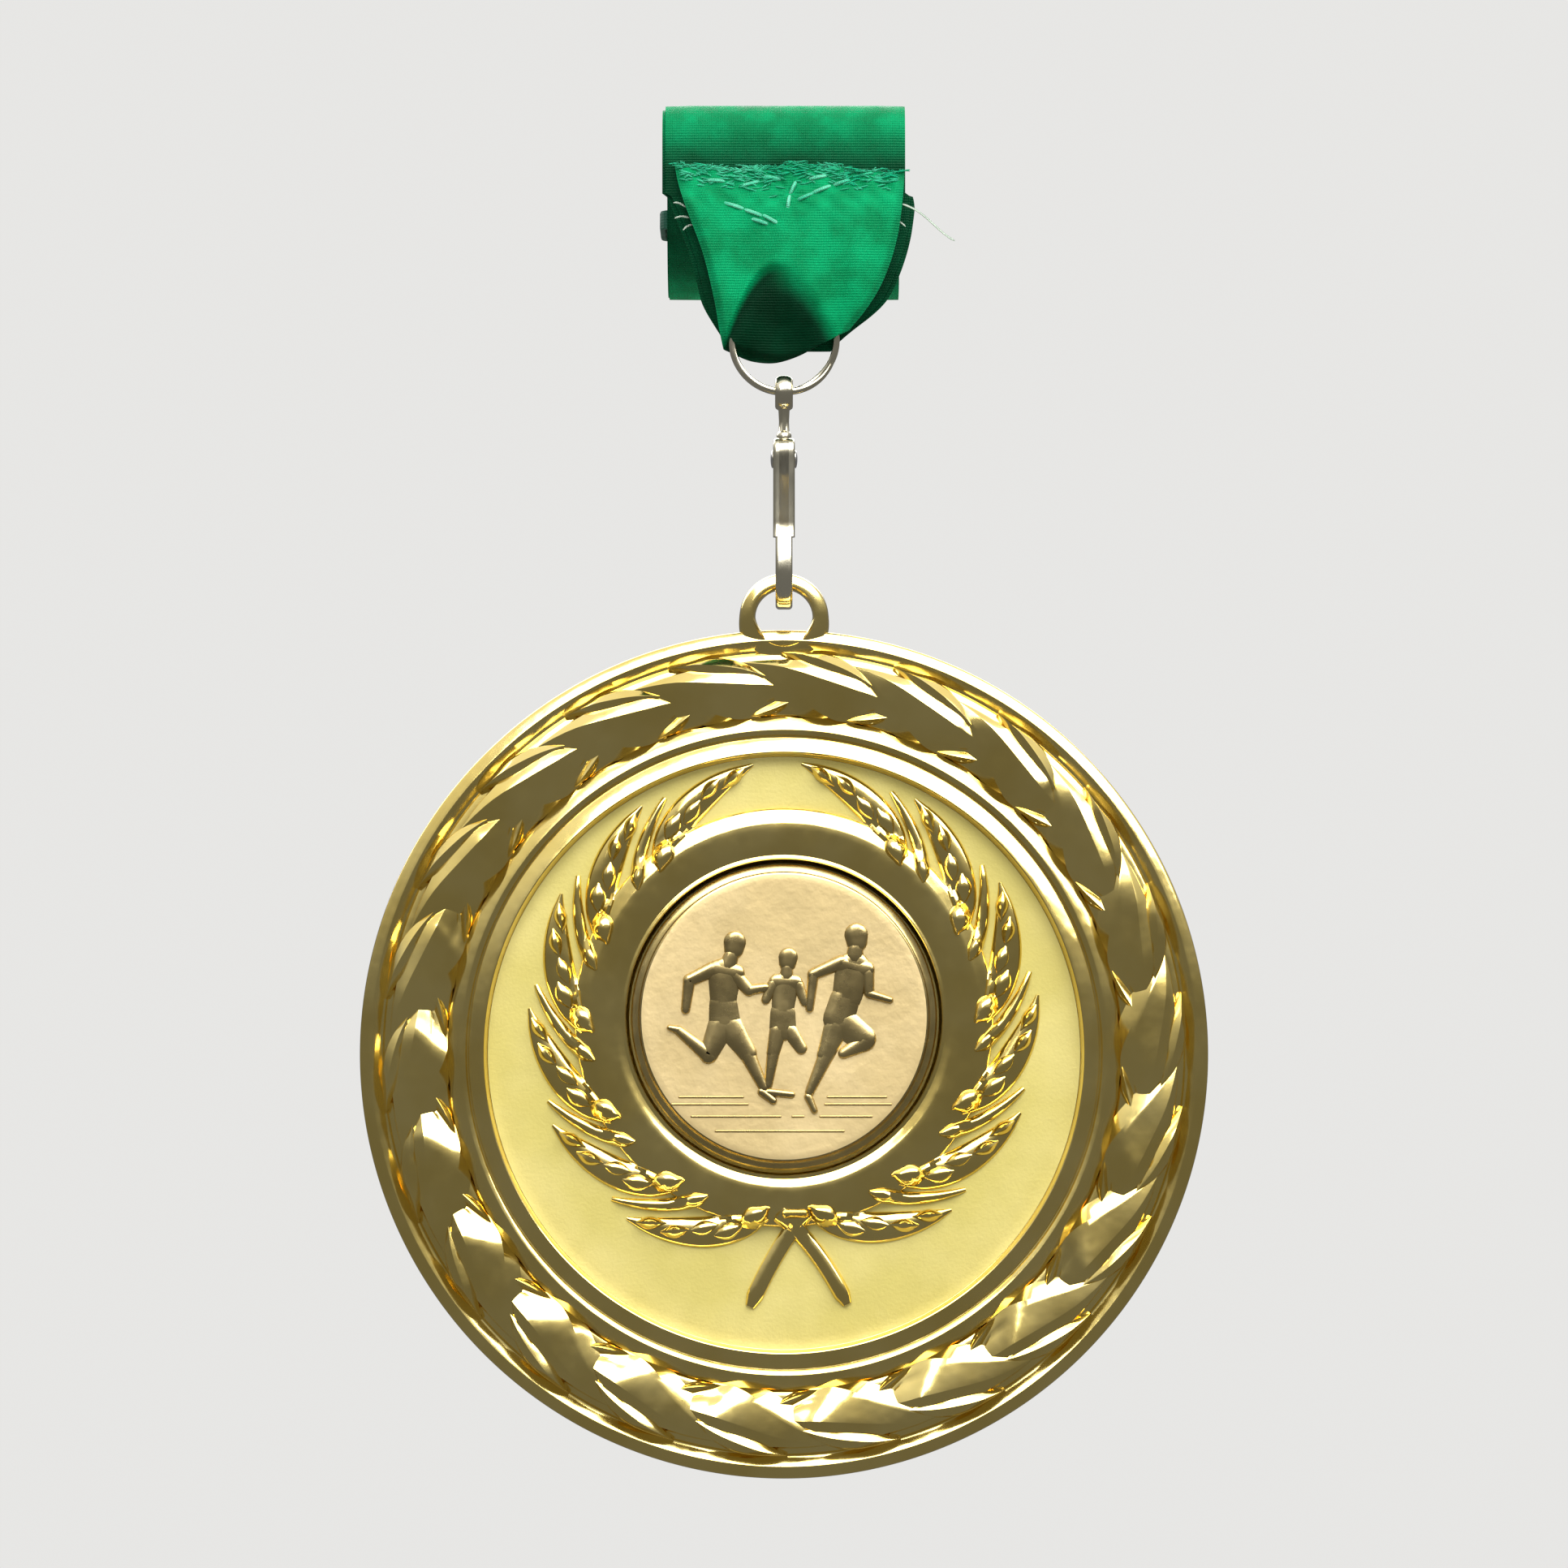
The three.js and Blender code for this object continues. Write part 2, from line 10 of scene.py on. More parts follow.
import bmesh
import bpy
import numpy as np
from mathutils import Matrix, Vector


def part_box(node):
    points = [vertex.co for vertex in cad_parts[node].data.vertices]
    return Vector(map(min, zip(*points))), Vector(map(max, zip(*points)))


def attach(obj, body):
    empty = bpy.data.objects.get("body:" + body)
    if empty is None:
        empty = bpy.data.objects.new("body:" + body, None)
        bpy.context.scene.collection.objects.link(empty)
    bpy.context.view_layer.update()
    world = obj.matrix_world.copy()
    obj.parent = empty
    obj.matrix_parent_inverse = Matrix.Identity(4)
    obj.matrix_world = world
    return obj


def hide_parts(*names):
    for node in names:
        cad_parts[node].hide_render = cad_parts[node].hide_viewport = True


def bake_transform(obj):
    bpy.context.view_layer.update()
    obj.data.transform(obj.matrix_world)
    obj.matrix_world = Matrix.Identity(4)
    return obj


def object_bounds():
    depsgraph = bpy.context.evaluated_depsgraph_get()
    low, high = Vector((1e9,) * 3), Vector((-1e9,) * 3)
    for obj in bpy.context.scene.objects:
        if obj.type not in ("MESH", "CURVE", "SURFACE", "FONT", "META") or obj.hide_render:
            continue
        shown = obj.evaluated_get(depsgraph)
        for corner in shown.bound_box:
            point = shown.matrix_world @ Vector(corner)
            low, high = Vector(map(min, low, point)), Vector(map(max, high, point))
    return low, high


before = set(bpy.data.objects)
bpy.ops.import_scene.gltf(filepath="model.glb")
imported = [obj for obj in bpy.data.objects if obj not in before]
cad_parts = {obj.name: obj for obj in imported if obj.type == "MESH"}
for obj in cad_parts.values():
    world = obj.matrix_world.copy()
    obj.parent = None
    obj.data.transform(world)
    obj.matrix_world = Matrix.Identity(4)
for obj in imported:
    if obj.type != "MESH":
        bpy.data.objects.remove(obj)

CAD_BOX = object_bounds()
MM = 0.001

# ---- The frame's own measures ----
casting_low, casting_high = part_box("medal_casting")
DISC_R = (casting_high.x - casting_low.x) / 2 / MM
DISC_HALF = 2.5
ORIGIN = Vector((0, casting_high.y - DISC_HALF * MM, casting_low.z + DISC_R * MM))

# Disc: radii and heights
BAND_OUTER_R = 33.1
BAND_INNER_R = 27.8
BAND_FOOT = 0.7
BAND_CREST = 1.35
LEAF_FLOOR = 0.5
LEAF_TOP = 2.88
FIELD_R = 24.4
FIELD_LEVEL = 1.2
BACK_LEVEL = -1.9
DISC_COLUMNS = 360

# Insert, its seat and the polished surround
SEAT_RISE = 2.9
SEAT_R = 13
SEAT_FLOOR = -0.5
SURROUND_R = 17.3
INSERT_R = 12.6
INSERT_FACE_R = 11.75
INSERT_BOTTOM = 1.1
INSERT_TOP = 1.9
INSERT_COLUMNS = 180

# Loop and ring
LOOP_Z = 36.03
LOOP_MIDDLE_R = 3.035
LOOP_RADIAL = 0.665
LOOP_HALF_THICK = 1.1
RING_R = 4.37
WIRE_Z = 54.85
RING_Z = WIRE_Z + RING_R

# Hook and gate
EYE_Z = WIRE_Z - 0.2
RIVET_Y = 1.2
RIVET_Z = 49.4
BORE_R = 0.52
SPINE_OUTER_Y = 2.3
SPINE_INNER_Y = 0.9
SPINE_FOOT_Z = 44.2
SWELL_Z = 42.6
CORNER_Y = 0.5
CORNER_Z = 39.5
CORNER_OUTER_R = 2.7
CORNER_INNER_R = 1.4
TIP_Z = 41.2
SHOULDER_Z = 49
HEAD_FLOOR_Z = 48.2
HEAD_BACK_Y = 2.2
HEAD_TOP_Z = 50.9
BAR_HALF = 0.7
HEAD_HALF = 0.9
GATE_FOOT_Z = 41.6
GATE_EAR_R = 0.95

# Ribbon
RIBBON_WIDTH = 20
RIBBON_THICK = 0.3
LAYER_GAP = 0.34
TAB_TOP_Z = 74.1
LEG_Y = 0.9
LEG_FOOT_Z = 58.4
FOLD_Y = 3.85
FOLD_Z = 76.2
FOLD_R = 2.95
RUN_END_Z = 74.6
ROLL_Y = 15.5
ROLL_Z = 71.6
ROLL_R = 7.2
ROLL_CORE_R = 1.6
ROLL_PITCH = 0.46


# ---- Camera ----
def add_object(name, data):
    thing = bpy.data.objects.new(name, data)
    bpy.context.scene.collection.objects.link(thing)
    return thing


def point(thing, place, way):
    """Puts a camera or a lamp at a place, facing a way."""
    thing.location = place
    thing.rotation_mode = "QUATERNION"
    thing.rotation_quaternion = way.to_track_quat("-Z", "Y")


def make_camera():
    low, high = CAD_BOX
    middle = Vector((0, ORIGIN.y, (low.z + high.z) / 2))
    elevation = radians(-4)
    distance = 0.62
    camera = add_object("camera", bpy.data.cameras.new("camera"))
    camera.data.lens = 172
    camera.data.clip_start = 0.01
    away = Vector((0, -cos(elevation), sin(elevation)))
    point(camera, middle + away * distance, -away)
    bpy.context.scene.camera = camera


make_camera()


# ---- Mesh making ----
class Shell:
    """One mesh in the making: points in millimetres, faces, each face's finish, and each point's marks, which
    for cloth are how far across and along the strip it is, and how much painted shade darkens it there (1 is
    none)."""

    def __init__(self):
        self.points, self.faces, self.finishes, self.marks = [], [], [], []

    def add(self, points, faces, finish=0, marks=None):
        start = len(self.points)
        self.points += [tuple(p) for p in points]
        self.faces += [tuple(start + i for i in face) for face in faces]
        self.finishes += [finish] * len(faces) if isinstance(finish, int) else finish
        self.marks += marks or [(0, 0, 1)] * len(points)

    def loft(self, rings, finish=0, ends="fans", marks=None):
        """Joins rings of equally many points. The ends are "fans", "flat", or "joined" to each other."""
        rows, count = len(rings), len(rings[0])
        points = [p for ring in rings for p in ring]
        marks = [m for ring in marks for m in ring] if marks else None
        faces = []
        for i in range(rows if ends == "joined" else rows - 1):
            a, b = i * count, (i + 1) % rows * count
            faces += [(a + j, a + (j + 1) % count, b + (j + 1) % count, b + j) for j in range(count)]
        for ring, base in ((rings[0], 0), (rings[-1], (rows - 1) * count)):
            if ends == "flat":
                faces.append(tuple(range(base, base + count)))
            elif ends == "fans":
                middle = len(points)
                points.append(np.mean(np.array(ring, float), axis=0))
                if marks:
                    marks.append(marks[base])
                faces += [(base + j, base + (j + 1) % count, middle) for j in range(count)]
        self.add(points, faces, finish, marks)

    def make(self, name, materials, sharp=38):
        mesh = bpy.data.meshes.new(name)
        mesh.from_pydata([Vector(p) * MM + ORIGIN for p in self.points], [], self.faces)
        mesh.polygons.foreach_set("material_index", self.finishes)
        mark = mesh.attributes.new("strip", "FLOAT_VECTOR", "POINT")
        mark.data.foreach_set("vector", np.array(self.marks, np.float32).ravel())
        work = bmesh.new()
        work.from_mesh(mesh)
        bmesh.ops.remove_doubles(work, verts=work.verts, dist=1e-7)
        bmesh.ops.recalc_face_normals(work, faces=work.faces)
        work.to_mesh(mesh)
        work.free()
        mesh.polygons.foreach_set("use_smooth", [True] * len(mesh.polygons))
        mesh.set_sharp_from_angle(angle=radians(sharp))
        for look in materials:
            mesh.materials.append(look)
        return add_object(name, mesh)


def polar(angle, radius, rise=0.0):
    """A point (x, z) at an angle clockwise from the top, in degrees, round a centre raised by rise."""
    a = radians(angle)
    return radius * sin(a), radius * cos(a) + rise


def mix(a, b, t):
    return a + (b - a) * t


def ease(a, b, value):
    t = min(max((value - a) / (b - a), 0), 1)
    return t * t * (3 - 2 * t)


def table(pairs, value):
    return float(np.interp(value, [p[0] for p in pairs], [p[1] for p in pairs]))


def shares(count):
    """Even steps from 0 to 1."""
    return [i / count for i in range(count + 1)]


def circle(count):
    """Even angles round a full circle."""
    return [2 * pi * i / count for i in range(count)]


def squarish(angle, power):
    """Cosine and sine of an angle, pushed outwards: round a circle they give a square with round corners."""
    return [copysign(abs(v) ** power, v) for v in (cos(angle), sin(angle))]


def square_to(path, i):
    """The unit vector square to a path of two coordinates at its point i, to the left of the way."""
    ahead, behind = path[min(i + 1, len(path) - 1)], path[max(i - 1, 0)]
    length = dist(ahead, behind) or 1
    return -(ahead[1] - behind[1]) / length, (ahead[0] - behind[0]) / length


# ---- Materials ----
def set_inputs(tree, node, inputs):
    """Sets a node's inputs to values, or links them where another node's output is given."""
    for name, value in inputs.items():
        if isinstance(value, bpy.types.NodeSocket):
            tree.links.new(value, node.inputs[name])
        else:
            node.inputs[name].default_value = value


def add_node(tree, kind, inputs):
    node = tree.nodes.new("ShaderNode" + kind)
    set_inputs(tree, node, inputs)
    return node


def new_material(name, base, metallic, roughness):
    look = bpy.data.materials.new(name)
    look.use_nodes = True
    tree = look.node_tree
    shader = tree.nodes["Principled BSDF"]
    set_inputs(tree, shader, {"Base Color": (*base, 1), "Metallic": metallic, "Roughness": roughness})
    return look, tree, shader


def noise(tree, scale, detail=3):
    place = add_node(tree, "TexCoord", {}).outputs["Object"]
    return add_node(tree, "TexNoise", {"Scale": scale, "Detail": detail, "Vector": place}).outputs["Fac"]


def ramp(tree, value, low, high, colors):
    stops = add_node(tree, "ValToRGB", {"Fac": value})
    for stop, place, color in zip(stops.color_ramp.elements, (low, high), colors):
        stop.position = place
        stop.color = (*color, 1)
    return stops.outputs["Color"]


def spread(tree, value, start, end, low, high):
    """Maps start to end onto low to high."""
    limits = {"From Min": start, "From Max": end, "To Min": low, "To Max": high}
    return add_node(tree, "MapRange", {"Value": value, **limits})


def bumps(tree, *layers):
    """Layers of bumps, one on the other, each a height and its depth in millimetres."""
    under = {}
    for height, depth in layers:
        relief = add_node(tree, "Bump", {"Strength": 1, "Distance": depth * MM, "Height": height, **under})
        under = {"Normal": relief.outputs["Normal"]}
    return under["Normal"]


def uneven(tree, value, roughness):
    """Roughness that follows a noise, which is nearly all from 0.3 to 0.7."""
    return spread(tree, value, 0.3, 0.7, *roughness).outputs["Result"]


def plated(name, tones, roughness, waves, grain, grain_scale=2500, metallic=1.0):
    """Plated metal: two tones that drift, uneven gloss, slow waves of the casting and a fine grain."""
    look, tree, shader = new_material(name, tones[0], metallic, roughness[0])
    set_inputs(tree, shader, {
        "Base Color": ramp(tree, noise(tree, 140), 0.38, 0.64, tones),
        "Roughness": uneven(tree, noise(tree, 600, 4), roughness),
        "Normal": bumps(tree, (noise(tree, 320, 2), waves), (noise(tree, grain_scale, 2), grain)),
    })
    return look


def fabric(name, tones, thread, sheen):
    """Satin ribbon: ribs of weft across the strip and fine warp along it, by the strip's own millimetres; its
    colour is darkened by the painted shade in the strip's marks.
    """
    look, tree, shader = new_material(name, tones[0], 0, 0.5)
    strip = add_node(tree, "Attribute", {})
    strip.attribute_name = "strip"
    axes = add_node(tree, "SeparateXYZ", {"Vector": strip.outputs["Vector"]})

    def ribs(axis, pitch):
        turn = add_node(tree, "Math", {0: axes.outputs[axis], 1: 2 * pi / pitch})
        turn.operation = "MULTIPLY"
        wave = add_node(tree, "Math", {0: turn.outputs["Value"]})
        wave.operation = "SINE"
        return wave.outputs["Value"]

    # Painted shade: the strip's third mark multiplies the base colour, darker where the cloth should lie in
    # shade.
    shade = add_node(tree, "Mix", {})
    shade.data_type = "RGBA"
    shade.blend_type = "MULTIPLY"
    tone = ramp(tree, noise(tree, 450, 4), 0.36, 0.66, tones)
    set_inputs(tree, shade, {"Factor": 1, "A": tone, "B": axes.outputs["Z"]})
    weave = (ribs("Y", thread), 0.018), (ribs("X", thread * 0.7), 0.012), (noise(tree, 5200, 2), 0.03)
    set_inputs(tree, shader, {
        "Base Color": shade.outputs["Result"],
        "Roughness": uneven(tree, noise(tree, 900), (0.36, 0.56)),
        "Specular IOR Level": 0.06,
        "Sheen Weight": sheen,
        "Sheen Roughness": 0.4,
        "Normal": bumps(tree, *weave),
    })
    return look


def foam(name, tones):
    look, tree, shader = new_material(name, tones[0], 0, 0.85)
    place = add_node(tree, "TexCoord", {}).outputs["Object"]
    cells = add_node(tree, "TexVoronoi", {"Scale": 2600, "Vector": place})
    set_inputs(tree, shader, {
        "Base Color": ramp(tree, noise(tree, 500), 0.35, 0.65, tones),
        "Normal": bumps(tree, (cells.outputs["Distance"], 0.06)),
    })
    return look


POLISHED = plated("polished_gold", ((0.87, 0.66, 0.20), (0.95, 0.75, 0.27)), (0.09, 0.18), 0.06, 0.002)
SATIN = plated("satin_gold", ((0.56, 0.48, 0.14), (0.62, 0.535, 0.185)), (0.5, 0.6), 0.02, 0.02, 3600, 0.42)
BACK_GOLD = plated("back_gold", ((0.60, 0.50, 0.17), (0.67, 0.56, 0.22)), (0.4, 0.5), 0.04, 0.01, 3600, 0.45)
INSERT_GOLD = plated("insert_gold", ((0.59, 0.45, 0.21), (0.68, 0.53, 0.27)), (0.42, 0.55), 0.08, 0.05,
                     1500, 0.45)
INSERT_EDGE = plated("insert_edge", ((0.55, 0.42, 0.16), (0.66, 0.51, 0.22)), (0.18, 0.28), 0.03, 0.003)
FIGURE_GOLD = plated("figure_gold", ((0.50, 0.38, 0.16), (0.62, 0.48, 0.21)), (0.22, 0.34), 0.02, 0.01)
CHAMPAGNE = plated("champagne_plating", ((0.76, 0.70, 0.52), (0.86, 0.80, 0.62)), (0.12, 0.22), 0.03, 0.002)
STEEL = plated("bright_steel", ((0.70, 0.69, 0.67), (0.80, 0.79, 0.77)), (0.16, 0.28), 0.01, 0.003)
GREEN = fabric("green_satin", ((0.0, 0.165, 0.055), (0.0, 0.25, 0.09)), 0.22, 0.0)
# The frayed fibres are lighter green than the ribbon: partly the loose fibres' own paler look, partly a
# painted highlight on the raw edge.
FRAY_AND_HIGHLIGHT = fabric("green_fray_and_highlight", ((0.0, 0.30, 0.14), (0.05, 0.44, 0.25)), 0.3, 0.1)
THREAD = fabric("green_thread", ((0.03, 0.38, 0.21), (0.12, 0.52, 0.33)), 0.18, 0.2)
PALE_THREAD = fabric("pale_thread", ((0.34, 0.42, 0.34), (0.48, 0.56, 0.46)), 0.18, 0.2)
BAND = fabric("dark_green_band", ((0.006, 0.05, 0.028), (0.015, 0.08, 0.05)), 0.35, 0.1)
FOAM = foam("foam_pad", ((0.82, 0.81, 0.76), (0.90, 0.89, 0.85)))


# ---- Disc ----
POLISH, FIELD, BACK = 0, 1, 2
# (radius, height), from the insert's bead outwards to the satin field.
SURROUND = (
    (13.35, 1.93), (13.5, 1.98), (13.65, 2.05), (13.8, 2.12), (13.95, 2.18), (14.1, 2.21), (14.4, 2.24),
    (15, 2.25), (15.5, 2.24), (15.9, 2.21), (16.1, 2.17), (16.2, 2.13), (16.5, 2.03), (16.8, 1.92),
    (17.05, 1.83), (17.18, 1.74), (17.25, 1.6), (17.28, 1.35), (SURROUND_R, FIELD_LEVEL),
)


def face_floor(x, z):
    """Height of the medal's face near the insert: the satin field, a bevel and the polished surround."""
    return table(SURROUND, hypot(x, z - SEAT_RISE))


def ridge():
    """Profile points of the rounded ridge under the garland, whose inner foot is the higher one."""
    points = []
    for share in shares(14):
        t = cos(pi * share)
        foot = mix(BAND_FOOT + 0.25, BAND_FOOT, (t + 1) / 2)
        radius = mix(BAND_INNER_R, BAND_OUTER_R, (t + 1) / 2)
        points.append((radius, foot + (BAND_CREST - foot) * sqrt(1 - t * t)))
    return points


def stair(outer, inner, foot, crest):
    """Profile points of a stair ring's outer slope, which is a little rounded."""
    slope = [(t, t + 0.22 * t * (1 - t)) for t in np.linspace(0, 1, 7)]
    return [(mix(outer, inner, t), foot + (crest - foot) * up) for t, up in slope]


def disc_profile():
    """(radius, height, finish of the strip that starts there) from the back's field to the seat's floor."""
    back_rim = (24.8, -1.95), (25.1, -2.2), (25.3, -2.44), (25.6, -2.5), (30, -2.5), (34.2, -2.5)
    edge = (34.6, -2.42), (34.9, -2.15), (DISC_R, -1.8), (DISC_R, -0.6), (DISC_R, 0.3), (34.97, 0.55)
    lip_outside = (34.91, 0.68), (34.8, 0.76), (34.6, 0.87), (34.35, 1.0), (34.14, 1.11), (34.06, 1.13)
    lip_inside = (33.98, 1.11), (33.7, 0.97), (33.4, 0.82), (33.16, 0.7)
    outer_stair = *stair(27.72, 26.66, 1.32, 1.93), (26.58, 1.95), (26.5, 1.93), (26.32, 1.84)
    groove = (26.16, 1.74), (26.1, 1.66)
    inner_stair = *stair(26.02, 24.86, 1.64, 2.28), (24.78, 2.3), (24.7, 2.26), (24.62, 2.1)
    step = (24.56, 1.7), (24.5, 1.3), (24.45, 1.22)
    bead = (13.26, 1.95), (13.16, 2.02), (13.08, 2.03), (SEAT_R + 0.02, 1.95)
    wall = (SEAT_R, 1.4), (SEAT_R, 0), (SEAT_R - 0.05, SEAT_FLOOR + 0.1)
    rim = *back_rim, *edge, *lip_outside, *lip_inside, *ridge(), *outer_stair, *groove, *inner_stair, *step
    return [
        *((r, BACK_LEVEL, BACK) for r in (12, 24.4)),
        *((r, h, POLISH) for r, h in rim),
        *((r, FIELD_LEVEL, FIELD) for r in (FIELD_R, 23.5, 22, 20.5, 19, 18)),
        *((r, h, POLISH) for r, h in (*reversed(SURROUND), *bead, *wall)),
        *((r, SEAT_FLOOR, BACK) for r in (SEAT_R - 0.2, 6)),
    ]


def turned(shell, rows, columns):
    """A turned shape: rows of radius, height, how far the centre is raised, and the finish from there on."""
    rings = []
    for radius, height, rise, _ in rows:
        ring = [polar(c * 360 / columns, radius, rise) for c in range(columns)]
        rings.append([(x, -height, z) for x, z in ring])
    shell.loft(rings, [row[-1] for row in (*rows[:-1], rows[0], rows[-1]) for _ in range(columns)])


def add_disc(shell):
    """The disc; from the field inwards its front is round the insert, whose middle is raised."""
    rows = []
    front = False
    for radius, height, finish in disc_profile():
        front = front or height > 0
        share = 1 - ease(SURROUND_R + 0.6, FIELD_R - 1, radius) if front else 0
        rows.append((radius, height, SEAT_RISE * share, finish))
    turned(shell, rows, DISC_COLUMNS)


def add_loop(shell):
    """Cast loop on the rim: a full ring whose lower part is sunk in the disc, flared where it meets it."""
    rings = []
    for a in circle(96):
        flare = 1 + 0.35 * ease(0.1, -0.55, cos(a))
        ring = []
        for b in circle(20):
            out, side = squarish(b, 0.8)
            radius = LOOP_MIDDLE_R + LOOP_RADIAL * out * flare
            bevel = 1 - 0.3 * max(out + 0.25, 0) / 1.25
            depth = LOOP_HALF_THICK * min(abs(side) * 1.25, 1) * bevel
            ring.append((radius * sin(a), copysign(depth, side), LOOP_Z + radius * cos(a)))
        rings.append(ring)
    shell.loft(rings, POLISH, "joined")


def make_disc():
    shell = Shell()
    add_disc(shell)
    add_loop(shell)
    return shell.make("medal_disc", [POLISHED, SATIN, BACK_GOLD], 30)


# ---- Garland ----
LEAF_GROUPS = 22
LEAF_STATIONS = 22
GARLAND_TURN = 2.7
# Where a leaf crosses: shares of its two halves, from the inner edge over the midrib to the outer edge.
LEAF_ACROSS = (-1, -0.82, -0.66, -0.56, -0.46, -0.24, -0.08, 0, 0.1, 0.35, 0.65, 0.88, 1)

# The leaves of a group, station by station: angle, radius and height of the midrib, the inner edge and the
# outer edge; then how far the slope under the inner edge reaches back along and in.
BROAD_LEAF = (
    (-9.3, 32.4, 1.7) * 3,
    (-3.2, 31.8, 2.55, -4.9, 30.8, 2.35, -3.0, 32.4, 2.0),
    (3.0, 30.95, 2.76, 0.2, 29.0, 2.36, 3.2, 32.3, 1.98),
    (8.0, 30.45, 2.86, 4.2, 27.95, 2.1, 8.3, 31.9, 2.05),
    (10.4, 30.35, 2.5, 8.0, 27.6, 1.4, 10.6, 31.4, 1.85),
    (12.6, 30.25, 2.1, 11.6, 28.3, 1.25, 12.8, 30.8, 1.75),
    (14.4, 30.1, 1.7) * 3,
)
OUTER_LEAF = (
    (-3.2, 33.1, 1.2) * 3, (0.5, 32.8, 2.4, 0.2, 32.1, 1.95, 0.8, 33.15, 1.6),
    (4.0, 32.3, 2.66, 3.6, 31.4, 2.12, 4.6, 32.9, 1.85), (7.5, 31.75, 2.6, 7.2, 31.0, 2.2, 8.0, 32.2, 2.0),
    (10.8, 31.1, 2.3) * 3,
)
INNER_LEAF = (
    (5.6, 27.7, 0.9) * 3, (9.0, 27.95, 1.75, 9.4, 27.75, 1.2, 8.7, 28.35, 1.4),
    (12.0, 28.4, 1.85, 12.5, 28.0, 1.3, 11.7, 28.9, 1.5), (15.4, 29.1, 1.9) * 3,
)
LEAVES = ((BROAD_LEAF, 1.7, 0.85), (OUTER_LEAF, 0.3, 0.2), (INNER_LEAF, 0.1, 0.0))


def curve(rows, t):
    """A smooth curve through evenly numbered rows of values."""
    place = t * (len(rows) - 1)
    i = min(int(place), len(rows) - 2)
    f = place - i
    four = zip(rows[max(i - 1, 0)], rows[i], rows[i + 1], rows[min(i + 2, len(rows) - 1)])
    return [(2 * b + (c - a) * f + (2 * a - 5 * b + 4 * c - d) * f * f + (3 * b - a - 3 * c + d) * f ** 3) / 2
            for a, b, c, d in four]


def garland_leaf(shell, turn, leaf, skirt_back, skirt_in):
    rings = []
    for t in shares(LEAF_STATIONS):
        rib_a, rib_r, rib_h, in_a, in_r, in_h, out_a, out_r, out_h = curve(leaf, t)
        wide = ease(0.0, 0.08, t) * ease(1.0, 0.93, t)
        young = ease(0.62, 0.45, t) * wide
        places = [(in_a - skirt_back * young, in_r - skirt_in * young, in_h - 0.85)]
        for share in LEAF_ACROSS:
            part = abs(share)
            edge_a, edge_r, edge_h = (in_a, in_r, in_h) if share < 0 else (out_a, out_r, out_h)
            vein = 0.08 * ease(0.12, 0.0, abs(share + 0.56)) * ease(0.52, 0.66, t) * ease(0.92, 0.8, t)
            height = mix(rib_h, edge_h, part ** 1.12) - vein * wide
            places.append((mix(rib_a, edge_a, part), mix(rib_r, edge_r, part), height))
        places += [(out_a, out_r + 0.12 * wide, out_h - 0.7), (rib_a, rib_r, 0.55)]
        ring = []
        for angle, radius, height in places:
            x, z = polar(turn + angle, min(max(radius, BAND_INNER_R - 0.1), BAND_OUTER_R + 0.1))
            ring.append((x, -min(max(height, LEAF_FLOOR), LEAF_TOP), z))
        rings.append(ring)
    shell.loft(rings, POLISH)


def make_garland():
    shell = Shell()
    for group in range(LEAF_GROUPS):
        for leaf, skirt_back, skirt_in in LEAVES:
            garland_leaf(shell, GARLAND_TURN + group * 360 / LEAF_GROUPS, leaf, skirt_back, skirt_in)
    return shell.make("rim_garland", [POLISHED], 26)


# ---- Small reliefs: rods, lumps, limbs ----
def relief(shell, path, widths, heights, floor, sides=10, crest=1.0):
    """A rounded rod half sunk in a face: path of (x, z), half widths and heights along it."""
    rings = []
    for i, (x, z) in enumerate(path):
        across = square_to(path, i)
        ring = []
        for a in circle(sides):
            side, up = widths[i] * cos(a), sin(a)
            rise = heights[i] * up ** crest if up > 0 else 0.25 * up
            px, pz = x + across[0] * side, z + across[1] * side
            ring.append((px, -(floor(px, pz) + rise), pz))
        rings.append(ring)
    shell.loft(rings)


def capsule(shell, start, end, w0, w1, height, floor):
    """A limb: a rod with round ends from start to end, half width w0 to w1."""
    length = dist(start, end) or 0.01
    way = ((end[0] - start[0]) / length, (end[1] - start[1]) / length)
    round_end = [(cos(a), sin(a)) for a in np.linspace(0.15, pi / 2, 5)]
    stations = [(-w0 * c, 0, s) for c, s in round_end]
    stations += [(length * t, t, 1) for t in np.linspace(0, 1, 6)[1:-1]]
    stations += [(length + w1 * c, 1, s) for c, s in round_end[::-1]]
    path = [(start[0] + way[0] * place, start[1] + way[1] * place) for place, _, _ in stations]
    widths = [mix(w0, w1, t) * swell for _, t, swell in stations]
    relief(shell, path, widths, [height * swell ** 0.6 for _, _, swell in stations], floor)


# ---- Laurel wreath ----
EARS_A_SIDE = 6
SCALES_AN_EAR = 5
EAR_PITCH = 27
FIRST_EAR = 6.5
WREATH_TURN = 1.5


def wreath_point(angle, radius, side):
    """A point of the wreath at an angle from the bottom, on the right (side 1) or the left (side -1)."""
    a = radians(WREATH_TURN + side * angle)
    return radius * sin(a), SEAT_RISE - radius * cos(a)


def ear_spine(root, t):
    return root + 33 * t, 16.5 + 4.5 * max(t, 0) ** 0.85


